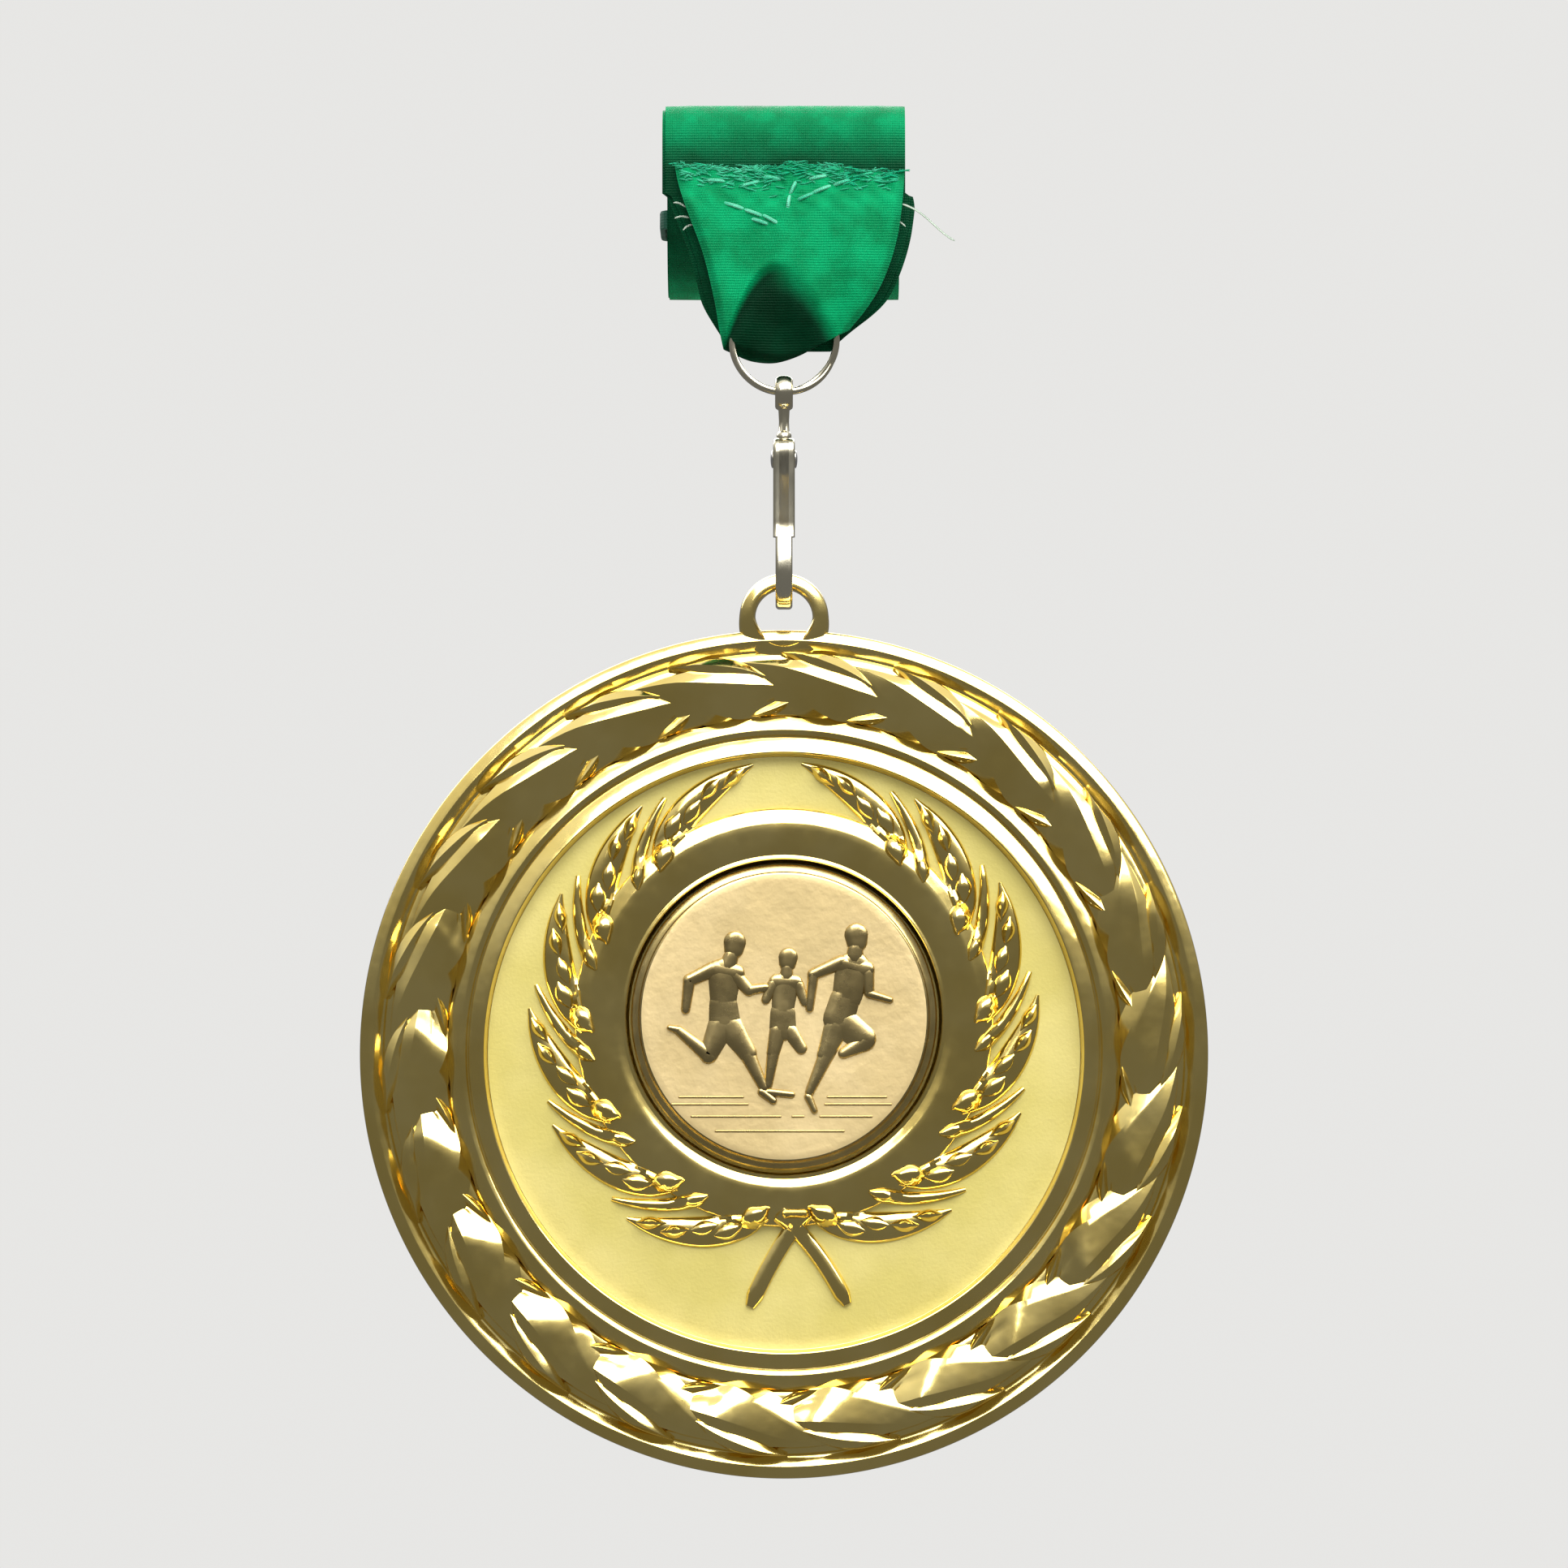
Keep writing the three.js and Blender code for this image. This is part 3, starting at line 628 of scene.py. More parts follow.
def ear(shell, root, side):
    """One ear of the wreath: a long leaf with a steep dark edge, and a row of scales along its middle."""
    path = [wreath_point(*ear_spine(root, t), side) for t in shares(20)]
    swell = [sin(pi * min(max(t, 0.03), 0.985) ** 0.85) ** 0.7 for t in shares(20)]
    relief(shell, path, [1.3 * s for s in swell], [0.1 + 0.5 * s for s in swell], face_floor, 16, 1.1)
    swell = [sin(pi * min(max(t, 0.04), 0.96) ** 1.15) ** 0.8 for t in shares(10)]
    for k in range(SCALES_AN_EAR):
        middle = 0.10 + 0.185 * k
        reach = 0.125 - 0.008 * k
        lean = (0.1 if k % 2 else -0.45) * (1 - k * 0.12)
        path = []
        for t in shares(10):
            angle, radius = ear_spine(root, middle + reach * (2 * t - 1))
            path.append(wreath_point(angle, radius + lean + 0.55 * (t - 0.5), side))
        widths = [(0.95 - 0.09 * k) * s for s in swell]
        relief(shell, path, widths, [0.42 + 0.5 * s for s in swell], face_floor, 14, 1.35)


def blade(shell, root, side):
    """The narrow leaf between two ears."""
    path = [wreath_point(root + 18 + 20.5 * t, 16.0 + 4.6 * t ** 0.9, side) for t in shares(14)]
    swell = [sin(pi / 2 * min(1, 0.15 + 6 * t)) * (1 - 0.66 * t ** 2.5) for t in shares(14)]
    heights = [*(0.2 + 0.5 * s for s in swell[:-1]), 0.1]
    relief(shell, path, [0.62 * s for s in swell], heights, face_floor, 14, 1.2)


def stem(shell, points, width, height):
    """A stalk of the wreath, with a round end."""
    (x0, z0), (x1, z1), (x2, z2) = points
    path, swell = [], []
    for t in shares(12):
        a, b, c = (1 - t) ** 2, 2 * t * (1 - t), t * t
        path.append((a * x0 + b * x1 + c * x2, a * z0 + b * z1 + c * z2))
        swell.append(sqrt(1 - ease(0.9, 1.06, t)))
    relief(shell, path, [width * s for s in swell], [height * s for s in swell], face_floor, 12, 0.8)


def make_wreath():
    shell = Shell()
    for side in (1, -1):
        for k in range(EARS_A_SIDE):
            root = FIRST_EAR + EAR_PITCH * k
            ear(shell, root, side)
            if k < EARS_A_SIDE - 1:
                blade(shell, root, side)
    stem(shell, ((1.7, -13.3), (-0.6, -15.9), (-2.8, -20.9)), 0.72, 0.5)
    stem(shell, ((-0.4, -13.3), (2.7, -15.7), (5.2, -20.7)), 0.72, 0.58)
    capsule(shell, (0.2, -13.35), (1.7, -13.3), 0.42, 0.36, 0.9, face_floor)
    return shell.make("laurel_wreath", [POLISHED], 40)


# ---- Insert ----
FACE, EDGE = 0, 1
LIMB_FULLNESS = 1.3
# Runners, each a list of limbs: start (x, z), end (x, z) and half width at each, round the insert's middle.
LEFT_RUNNER = (
    (-4.05, 6.15, -4.12, 5.6, 0.72, 0.64), (-4.35, 5.0, -4.6, 4.3, 0.48, 0.55),
    (-5.5, 3.9, -4.0, 3.6, 0.62, 0.6), (-4.9, 3.5, -5.0, 1.4, 1.05, 0.85),
    (-5.0, 1.0, -4.9, -0.3, 0.9, 1.0), (-5.9, 3.9, -7.8, 3.0, 0.5, 0.42),
    (-7.8, 3.0, -8.1, 0.6, 0.4, 0.3), (-4.0, 3.4, -2.9, 2.2, 0.48, 0.4),
    (-2.9, 2.2, -1.6, 2.4, 0.36, 0.3), (-5.2, -0.8, -6.2, -3.1, 0.85, 0.6),
    (-6.2, -3.2, -8.6, -1.2, 0.5, 0.32), (-8.7, -1.1, -9.4, -0.9, 0.3, 0.2),
    (-4.5, -0.8, -3.0, -3.0, 0.85, 0.6), (-3.0, -3.1, -1.7, -5.8, 0.52, 0.32),
    (-1.8, -6.2, -0.9, -6.9, 0.3, 0.26),
)
MIDDLE_RUNNER = (
    (0.35, 4.9, 0.3, 4.45, 0.62, 0.56), (0.25, 4.0, 0.2, 3.4, 0.38, 0.44),
    (-0.6, 2.9, 0.9, 2.8, 0.5, 0.5), (0.1, 2.6, -0.1, 0.6, 0.85, 0.7), (-0.1, 0.3, -0.1, -0.9, 0.8, 0.85),
    (-0.9, 2.7, -1.5, 1.4, 0.36, 0.3), (1.2, 2.6, 1.7, 1.2, 0.36, 0.3),
    (-0.5, -1.2, -0.9, -3.0, 0.55, 0.42), (-0.9, -3.1, -1.3, -5.6, 0.4, 0.28),
    (-1.3, -6.2, 0.6, -6.4, 0.26, 0.24), (0.5, -1.2, 1.4, -2.6, 0.5, 0.4),
)
RIGHT_RUNNER = (
    (5.95, 6.75, 6.0, 6.2, 0.76, 0.68), (5.9, 5.6, 5.8, 4.9, 0.5, 0.56), (4.9, 4.3, 6.7, 3.9, 0.62, 0.6),
    (5.7, 3.9, 5.2, 1.7, 1.15, 0.95), (5.0, 1.4, 4.5, -0.2, 0.95, 1.0), (4.7, 4.5, 2.4, 3.5, 0.46, 0.38),
    (2.4, 3.4, 2.1, 0.7, 0.36, 0.28), (6.9, 3.6, 7.0, 2.0, 0.42, 0.34), (7.0, 1.9, 8.7, 1.4, 0.3, 0.24),
    (5.0, -0.6, 6.5, -1.8, 0.95, 0.85), (6.6, -2.1, 4.9, -3.0, 0.62, 0.36),
    (4.3, -0.9, 3.4, -3.2, 0.8, 0.55), (3.4, -3.3, 2.1, -6.2, 0.5, 0.3),
    (2.0, -6.6, 2.5, -7.7, 0.28, 0.22),
)
# Ground: height of each line and the stretches of it.
GROUND = (
    (-6.6, ((-8.6, -3.4), (3.6, 8.4))), (-7.2, ((-9.2, -3.0), (3.4, 8.8))),
    (-8.2, ((-7.6, -0.3), (0.7, 1.6), (3.0, 7.2))), (-9.4, ((-5.6, 4.9),)),
)


def make_insert():
    shell = Shell()
    edge = (INSERT_R - 0.1, INSERT_BOTTOM), (INSERT_R, INSERT_BOTTOM + 0.1), (INSERT_R, 1.35)
    shoulder = (INSERT_R - 0.12, 1.46), (12.15, 1.5), (11.98, 1.62), (11.9, 1.82)
    rows = [(r, h, SEAT_RISE, EDGE) for r, h in (*edge, *shoulder)]
    rows += [(r, INSERT_TOP, SEAT_RISE, FACE) for r in (INSERT_FACE_R, 11.2, 8, 4)]
    turned(shell, rows, INSERT_COLUMNS)
    return shell.make("insert_disc", [INSERT_GOLD, INSERT_EDGE], 30)


def make_figures():
    shell = Shell()

    def rod(x0, z0, x1, z1, w0, w1, height):
        ends = (x0, z0 + SEAT_RISE), (x1, z1 + SEAT_RISE)
        capsule(shell, *ends, w0, w1, height, lambda x, z: INSERT_TOP)

    for runner, height in ((MIDDLE_RUNNER, 0.24), (LEFT_RUNNER, 0.3), (RIGHT_RUNNER, 0.32)):
        for *ends, w0, w1 in runner:
            rod(*ends, w0 * LIMB_FULLNESS, w1 * LIMB_FULLNESS, height)
    for level, stretches in GROUND:
        for x0, x1 in stretches:
            rod(x0, level, x1, level, 0.1, 0.1, 0.07)
    return shell.make("insert_runners", [FIGURE_GOLD], 50)


# ---- Split ring ----
def make_ring():
    """A flat wire wound twice: its ends overlap at the lower right, where the two coils spread apart."""
    shell = Shell()
    turns, first = 1.93, radians(118)
    rings = []
    for t in shares(200):
        a = first + 2 * pi * turns * t
        settle = ease(0.44, 0.56, t)
        bulge = 0.13 * exp(-((((degrees(a) % 360) - 135) / 32) ** 2))
        radius = RING_R - 0.04 + bulge * (1 - 2 * settle)
        taper = 1 - 0.35 * max(ease(0.07, 0.0, t), ease(0.93, 1.0, t))
        ring = []
        for b in circle(12):
            out, side = squarish(b, 0.75)
            r = radius + 0.29 * out * taper
            ring.append((r * sin(a), mix(-0.3, 0.3, settle) + 0.28 * side * taper, RING_Z + r * cos(a)))
        rings.append(ring)
    shell.loft(rings)
    return shell.make("split_ring_coils", [CHAMPAGNE], 50)


# ---- Snap hook ----
def bezier(p0, p1, p2, p3, steps=14):
    points = []
    for t in shares(steps)[1:]:
        k = ((1 - t) ** 3, 3 * t * (1 - t) ** 2, 3 * t * t * (1 - t), t ** 3)
        points.append(tuple(sum(w * p[n] for w, p in zip(k, (p0, p1, p2, p3))) for n in (0, 1)))
    return points


def arc(center, radius, start, end, steps=12):
    """Points of an arc in the plane of the hook, angles in degrees from +Y towards +Z."""
    angles = [radians(mix(start, end, t)) for t in shares(steps)]
    return [(center[0] + radius * cos(a), center[1] + radius * sin(a)) for a in angles]


def plate(outline, half, rounding):
    """A plate in the plane of the hook with rounded edges, from a closed outline of (y, z)."""
    clean = [p for i, p in enumerate(outline) if dist(p, outline[i - 1]) > 1e-4]
    count = len(clean)
    area = sum(clean[i - 1][0] * clean[i][1] - clean[i][0] * clean[i - 1][1] for i in range(count))
    turn = copysign(1, area)
    inward = []
    for i in range(count):
        before, here, after = (Vector(clean[k % count]) for k in (i - 1, i, i + 1))
        a, b = (here - before).normalized(), (after - here).normalized()
        bisector = (Vector((-(a.y + b.y), a.x + b.x)) * turn).normalized()
        inward.append(bisector / max(bisector.dot(Vector((-a.y, a.x)) * turn), 0.45))
    rings = []
    for end in (-1, 1):
        for share in shares(4)[::-end]:
            a = pi / 2 * share
            inset = rounding * (1 - sin(a))
            x = end * (half - rounding * (1 - cos(a)))
            rings.append([(x, p[0] + n.x * inset, p[1] + n.y * inset) for p, n in zip(clean, inward)])
    shell = Shell()
    shell.loft(rings, ends="flat")
    return shell


def cut_away(piece, cutters):
    """Takes the cutters out of the piece."""
    cutter = cutters.make("cutter", [])
    step = piece.modifiers.new("cut", "BOOLEAN")
    step.object = cutter
    step.operation = "DIFFERENCE"
    step.solver = "EXACT"
    bpy.context.view_layer.update()
    solid = piece.evaluated_get(bpy.context.evaluated_depsgraph_get())
    mesh = bpy.data.meshes.new_from_object(solid)
    piece.modifiers.clear()
    piece.data = mesh
    bpy.data.objects.remove(cutter)
    mesh.set_sharp_from_angle(angle=radians(38))


def block(low, high):
    shell = Shell()
    corners = [(x, y, z) for x in (low[0], high[0]) for y in (low[1], high[1]) for z in (low[2], high[2])]
    shell.add(corners, ((0, 1, 3, 2), (4, 5, 7, 6), (0, 1, 5, 4), (2, 3, 7, 6), (0, 2, 6, 4), (1, 3, 7, 5)))
    return shell


def rivet_part(shell, rows, columns=28):
    """A round shape on the rivet's axis, from rows of (x, radius)."""
    turn = [(cos(a), sin(a)) for a in circle(columns)]
    shell.loft([[(x, RIVET_Y + r * c, RIVET_Z + r * s) for c, s in turn] for x, r in rows])
    return shell


def rivet_bore():
    return rivet_part(Shell(), ((-2, BORE_R), (2, BORE_R)))


def hook_outline():
    """(y, z) round the hook, from its top over the spine, the bend and the tip to the head."""
    outer_y, inner_y = CORNER_Y + CORNER_OUTER_R, CORNER_Y + CORNER_INNER_R
    front, back = (-CORNER_Y, CORNER_Z), (CORNER_Y, CORNER_Z)
    outline = [(-1.3, HEAD_TOP_Z)]
    outline += bezier((-1.7, 50.75), (-2.25, 50.4), (-SPINE_OUTER_Y, 49.8), (-SPINE_OUTER_Y, SHOULDER_Z), 8)
    foot, swell = (-SPINE_OUTER_Y, SPINE_FOOT_Z), (-SPINE_OUTER_Y, SWELL_Z)
    outline += bezier(foot, swell, (-3.2, 41.6), (-outer_y, CORNER_Z))
    outline += arc(front, CORNER_OUTER_R, 180, 270) + arc(back, CORNER_OUTER_R, 270, 360)
    outline += [(outer_y, TIP_Z - 0.25), (outer_y - 0.3, TIP_Z)]
    outline += [(inner_y + 0.25, TIP_Z), (inner_y, TIP_Z - 0.2)]
    outline += arc(back, CORNER_INNER_R, 0, -90) + arc(front, CORNER_INNER_R, 270, 180)
    foot, swell = (-SPINE_INNER_Y, SPINE_FOOT_Z), (-SPINE_INNER_Y, SWELL_Z)
    outline += bezier((-inner_y, CORNER_Z), (-1.9, 41.4), swell, foot)
    top, bend = (-SPINE_INNER_Y, HEAD_FLOOR_Z - 1), (-SPINE_INNER_Y, HEAD_FLOOR_Z - 0.4)
    outline += bezier(top, bend, (-0.6, HEAD_FLOOR_Z), (0, HEAD_FLOOR_Z), 6)
    heel = (HEAD_BACK_Y, HEAD_FLOOR_Z)
    outline += [(1.0, HEAD_FLOOR_Z), heel, *bezier(heel, (2.6, 49.2), (2.4, 50.0), (1.9, 50.6), 8)]
    return [*outline, (1.2, HEAD_TOP_Z)]


def make_eye():
    """The collar, the neck and the ring on top of the hook, which hangs on the split ring."""
    shell = Shell()
    rings = []
    collar = [(0.62 * s, z, 1.5) for s, z in ((0.8, 50.5), (1, 50.7), (1, 51.3), (0.82, 51.5))]
    neck = [(r, z, 1.35) for r, z in ((0.45, 51.6), (0.42, 52.4), (0.46, 53.2), (0.5, 53.9))]
    for r, z, deep in collar + neck:
        rings.append([(r * cos(a), deep * r * sin(a), z) for a in circle(24)])
    shell.loft(rings)
    rings = []
    for a in circle(48):
        wire = [(0.74 * sin(b), 1.12 + 0.38 * cos(b)) for b in circle(16)]
        rings.append([(x, r * cos(a), EYE_Z + 0.12 + r * sin(a)) for x, r in wire])
    shell.loft(rings, ends="joined")
    return shell.make("head", [CHAMPAGNE], 50)


def make_hook():
    outline = hook_outline()
    bar = plate(outline, BAR_HALF, 0.3).make("snap_hook", [CHAMPAGNE])
    # The upper part is wider: the same outline, cut off below.
    upper = plate(outline, HEAD_HALF, 0.32).make("upper", [CHAMPAGNE])
    cut_away(upper, block((-2, -6, 36), (2, 6, SWELL_Z)))
    for part in (upper, bar):
        cut_away(part, block((-0.45, -0.6, 46), (0.45, 4, 51.4)))
        cut_away(part, rivet_bore())
    parts = [bar, upper, make_eye()]
    with bpy.context.temp_override(active_object=bar, selected_editable_objects=parts, object=bar):
        bpy.ops.object.join()
    return bar


def make_gate():
    front, toe = (RIVET_Y - GATE_EAR_R, RIVET_Z), (3.1, GATE_FOOT_Z)
    back, lever, heel = (2.9, 48.9), (4.1, 49.9), (3.85, 50.6)
    outline = [front, *bezier(front, (0.3, 47.6), (2.3, 46.8), (2.0, GATE_FOOT_Z)), toe]
    outline += bezier(toe, (3.9, 45.0), (3.6, 47.6), back)
    outline += [*bezier(back, (3.3, 49.3), (3.9, 49.5), lever, 6), heel]
    outline += bezier(heel, (3.2, 50.5), (2.6, 50.3), (2.0, 50.2), 6)
    outline += arc((RIVET_Y, RIVET_Z), GATE_EAR_R, 54, 176)
    gate = plate(outline, 0.32, 0.12).make("hook_gate", [CHAMPAGNE])
    cut_away(gate, rivet_bore())
    return gate


def make_rivet():
    shell = rivet_part(Shell(), ((-0.95, 0.42), (0.95, 0.42)))
    dome = (0.9, 0.7), (0.94, 0.74), (1.0, 0.72), (1.06, 0.58), (1.1, 0.36), (1.12, 0.14)
    for side in (-1, 1):
        rivet_part(shell, [(side * x, r) for x, r in dome], 32)
    return shell.make("gate_rivet_domed", [STEEL], 50)


# ---- Ribbon: the sewn end ----
# Height, then the left and right side of the front layer there.
FRONT_EDGES = (
    (57.0, -4.6, 3.4), (58.8, -5.2, 4.4), (60.2, -5.4, 5.6), (62.7, -5.8, 7.7), (66.8, -6.8, 9.3),
    (70.0, -8.1, 9.8), (72.5, -8.9, 10.0), (74.1, -9.2, 10.1),
)
ARCH_LEFT = -5.0
ARCH_TOP_X = -0.7
ARCH_RIGHT = 4.6
ARCH_FOOT_Z = 58.8
ARCH_TOP_Z = 65.4


def front_edges(z):
    """The front layer's left and right side at a height, softened so that neither shows a corner."""
    sides = []
    for k in (1, 2):
        rows = [(row[0], row[k]) for row in FRONT_EDGES]
        sides.append(sum(table(rows, z + step) for step in (-1.5, -0.75, 0, 0.75, 1.5)) / 5)
    return sides


def arch_height(x):
    """Height of the hollow's edge over a place x; far outside the hollow it drops away."""
    if x < ARCH_TOP_X:
        t = (x - ARCH_LEFT) / (ARCH_TOP_X - ARCH_LEFT)
    else:
        t = (ARCH_RIGHT - x) / (ARCH_RIGHT - ARCH_TOP_X)
    if t <= 0:
        return ARCH_FOOT_Z + 8 * t
    return ARCH_FOOT_Z + (ARCH_TOP_Z - ARCH_FOOT_Z) * sin(pi / 2 * min(t, 1)) ** 0.9


def front_bottom(x):
    return 57.4 + 0.06 * (x + 0.3) ** 2


def wavy_top(x):
    """The raw top edge isn't straight."""
    return TAB_TOP_Z - 0.35 + 0.22 * sin(0.55 * x + 0.6) + 0.12 * sin(1.9 * x) - 0.25 * ease(2, 9, x)


def front_sheet(x, z):
    """How far the front layer lies from the hanging plane, negative to the front, and how much painted shade
    it gets.
    """
    inside = arch_height(x) - z
    crisp = ease(0.8, -1.8, x)
    first = 0.5 * mix(ease(-0.9, 2.2, inside), ease(-0.1, 0.4, inside), crisp)
    deep = 0.75 * ease(1.9, 6.5, inside)
    sewn = 1.05 * ease(69.5, 74.2, z)
    belly = -0.35 * sin(pi * min(max((z - 58) / 14, 0), 1))
    lip = -0.18 * crisp * exp(-(((inside + 0.45) / 0.45) ** 2))
    folds = 0.09 * sin(1.15 * x + 0.35 * z) * ease(74, 66, z)
    folds += 0.05 * sin(2.9 * x - 0.5 * z + 1.3)
    radial = atan2(x - 0.4, z - 71.4)
    folds += 0.07 * sin(9 * radial) * exp(-((x - 0.4) ** 2 + (z - 71.4) ** 2) / 9)
    folds += 0.14 * sin(2.3 * x + 1.6 * sin(0.8 * z)) * sin(2.2 * z + 0.7 * x) * ease(68.5, 72, z)
    pull = 0.13 * exp(-((x - 0.4) ** 2 / 6 + (z - 71.8) ** 2 / 1.6))
    # Painted shade: very dark inside the hollow under the arch, with a crisper edge on the left.
    shade = 1 - 0.9 * mix(ease(-0.6, 2.6, inside), ease(0.0, 0.8, inside), crisp)
    left, right = front_edges(z)
    edge = min(x - left, right - x)
    curl = 0.35 * ease(0.7, 0.0, edge) * ease(73, 68, z)
    wrap = 0.5 * ease(0.8, 0.0, z - front_bottom(x))
    # Painted shade: a little darker along the layer's sides.
    shade *= 1 - 0.3 * ease(0.9, 0.0, edge)
    return -0.98 + first + deep + sewn + belly + lip + folds + pull + curl + wrap, shade


def make_front():
    """The end of the ribbon that has gone round the ring and lies on top, sewn down, its cut edge raw."""
    columns = rows = 110
    points, marks = [], []
    for layer in (0, 1):
        for down in shares(rows):
            for across in shares(columns):
                low = front_bottom(mix(*front_edges(66), across) * 0.7)
                z = mix(wavy_top(mix(*FRONT_EDGES[-1][1:], across)), low, down)
                x = mix(*front_edges(z), across)
                y, shade = front_sheet(x, z)
                points.append((x, y + layer * RIBBON_THICK, z))
                marks.append(((across - 0.5) * RIBBON_WIDTH, z, shade))
    span = columns + 1
    size = span * (rows + 1)
    faces = []
    for a in (i * span + j for i in range(rows) for j in range(columns)):
        faces.append((a, a + 1, a + span + 1, a + span))
        faces.append((size + a, size + a + span, size + a + span + 1, size + a + 1))
    rim = [*range(columns), *(i * span + columns for i in range(rows))]
    rim += [*(rows * span + columns - j for j in range(columns)), *((rows - i) * span for i in range(rows))]
    faces += [(a, b, size + b, size + a) for a, b in zip(rim, rim[1:] + rim[:1])]
    shell = Shell()
    shell.add(points, faces, 0, marks)
    return shell.make("ribbon_front_layer", [GREEN], 60)


# ---- Ribbon: legs, fold and roll ----
def run_path(offset):
    """Middle line (y, z) of a layer from behind the ring up, over the fold and down; offset is outward."""
    path = [(LEG_Y - offset, z) for z in np.linspace(LEG_FOOT_Z, FOLD_Z, 60)]
    r = FOLD_R + offset
    path += [(FOLD_Y - r * cos(a), FOLD_Z + r * sin(a)) for a in np.linspace(0, pi, 25)[1:]]
    return path + [(FOLD_Y + r, z) for z in np.linspace(FOLD_Z, RUN_END_Z, 5)[1:]]


def roll_path(offset):
    """Middle line of a layer from the back run on into the roll and round to its core."""
    start = (FOLD_Y + FOLD_R + offset, RUN_END_Z)
    outer = ROLL_R - RIBBON_THICK / 2 - 0.1 - (ROLL_PITCH / 4 - offset / 2)
    meet = (ROLL_Y - outer, ROLL_Z - 0.6)
    path = [start, *bezier(start, (start[0], 73.2), (meet[0] - 0.05, 73.0), meet, 10)]
    per_turn = 44
    for i in range(1, int((outer - ROLL_CORE_R) / ROLL_PITCH * per_turn) + 1):
        a = 2 * pi * i / per_turn
        radius = outer - ROLL_PITCH * i / per_turn
        wobble = 1 + 0.006 * sin(3 * a) + 0.004 * sin(7.3 * a)
        path.append((ROLL_Y - radius * wobble * cos(a), ROLL_Z - 0.6 * ease(1, 0, a) - radius * sin(a)))
    return path


def strip(shell, path, thick, edges, columns, shade_of):
    """A thin closed strip along a path of (y, z); edges gives its two sides x at each point of the path."""
    rings, marks = [], []
    gone = 0.0
    count = len(path)
    for i, (y, z) in enumerate(path):
        out = square_to(path, i)
        sides = edges(i / (count - 1), z)
        shade = shade_of(y, z)
        ring, mark = [], []
        for side in (-1, 1):
            for j in range(columns + 1):
                across = j / columns if side < 0 else 1 - j / columns
                push = side * thick / 2 * (0.6 if j in (0, columns) else 1)
                ring.append((mix(*sides, across), y + out[0] * push, z + out[1] * push))
                mark.append(((across - 0.5) * RIBBON_WIDTH, gone, shade))
        rings.append(ring)
        marks.append(mark)
        gone += dist(path[i], path[min(i + 1, count - 1)])
    shell.loft(rings, marks=marks)
    return gone


def leg_edges(widen, shift):
    """Sides of a layer that follows the front layer, widen beyond it, and above it has the ribbon's width."""
    def edges(share, z):
        sides = -RIBBON_WIDTH / 2 + shift, RIBBON_WIDTH / 2 + shift
        if share > 0.5 or z >= 74.5:
            return sides
        left, right = front_edges(min(z, TAB_TOP_Z))
        grow = ease(74.5, 70, z)
        spare = mix(-0.4, widen, ease(58.2, 63, z))
        return mix(sides[0], left - spare, grow), mix(sides[1], right + spare, grow)
    return edges


# Painted shade: the front legs are dark low down, behind the front layer and in the hollow under it; the back
# run stays light.
def leg_shade(y, z):
    return mix(0.2, 0.9, ease(73.2, 78.5, z)) if y < FOLD_Y else 0.95


def roll_shade(y, z):
    """Painted shade: the roll's front side is darkened, as if in the shade of the ribbon in front of it."""
    return mix(0.22, 0.95, ease(ROLL_Y - 7, ROLL_Y + 1, y))


def make_layers(name, path, thick, edges, columns, shade_of):
    """The ribbon's two layers, each with its own edges, as one piece; gives also their length."""
    shell = Shell()
    paths = path(LAYER_GAP / 2), path(-LAYER_GAP / 2)
    length = sum(strip(shell, run, thick, sides, columns, shade_of) for run, sides in zip(paths, edges))
    return shell.make(name, [GREEN], 60), length


def make_legs():
    sides = leg_edges(0.7, 0.1), leg_edges(1.1, -0.15)
    return make_layers("ribbon_legs_and_fold", run_path, 0.26, sides, 10, leg_shade)


def make_roll():
    sides = (lambda share, z: (-9.75, 9.75)), (lambda share, z: (-9.85, 9.65))
    return make_layers("ribbon_spiral_roll", roll_path, 0.2, sides, 4, roll_shade)


# ---- Threads ----
FIBRES = 300
LOOPS = 260


def tube(shell, path, radius, sides, taper=0.45):
    """A thread along points (x, y, z), thinned at its ends."""
    rings, marks = [], []
    last = len(path) - 1
    for i, place in enumerate(path):
        way = (Vector(path[min(i + 1, last)]) - Vector(path[max(i - 1, 0)])).normalized()
        side = way.cross(Vector((0, 1, 0.01))).normalized()
        up = side.cross(way)
        r = radius * (taper if i in (0, last) else 1)
        rings.append([Vector(place) + (side * cos(a) + up * sin(a)) * r for a in circle(sides)])
        marks.append([(j * 0.1, i * 0.2, 1) for j in range(sides)])
    shell.loft(rings, marks=marks)


# Stitches on the tab: where each stroke starts and ends (x, z, x, z).
STITCHES = (
    (-3.5, 72.1, -2.1, 72.5), (-4.9, 70.6, -3.4, 70.1), (-3.2, 70.0, -1.9, 69.5),
    (-1.7, 69.5, -0.6, 68.9), (-2.6, 69.2, -1.4, 68.8), (0.3, 70.2, 0.45, 71.2), (0.5, 71.4, 0.95, 72.4),
    (1.2, 70.9, 2.3, 71.4), (2.4, 71.5, 3.8, 72.1), (2.2, 72.7, 3.5, 73.0), (4.2, 72.2, 5.4, 72.6),
    (-6.4, 72.6, -5.0, 72.5), (-1.6, 72.9, -0.3, 72.7),
)


def make_stitches():
    shell = Shell()
    for x0, z0, x1, z1 in STITCHES:
        path = []
        for t in shares(8):
            x, z = mix(x0, x1, t), mix(z0, z1, t)
            path.append((x, front_sheet(x, z)[0] + 0.12 - 0.24 * sin(pi * t) ** 0.5, z))
        tube(shell, path, 0.15, 8, taper=1)
    return shell.make("hand_stitches", [THREAD], 60)


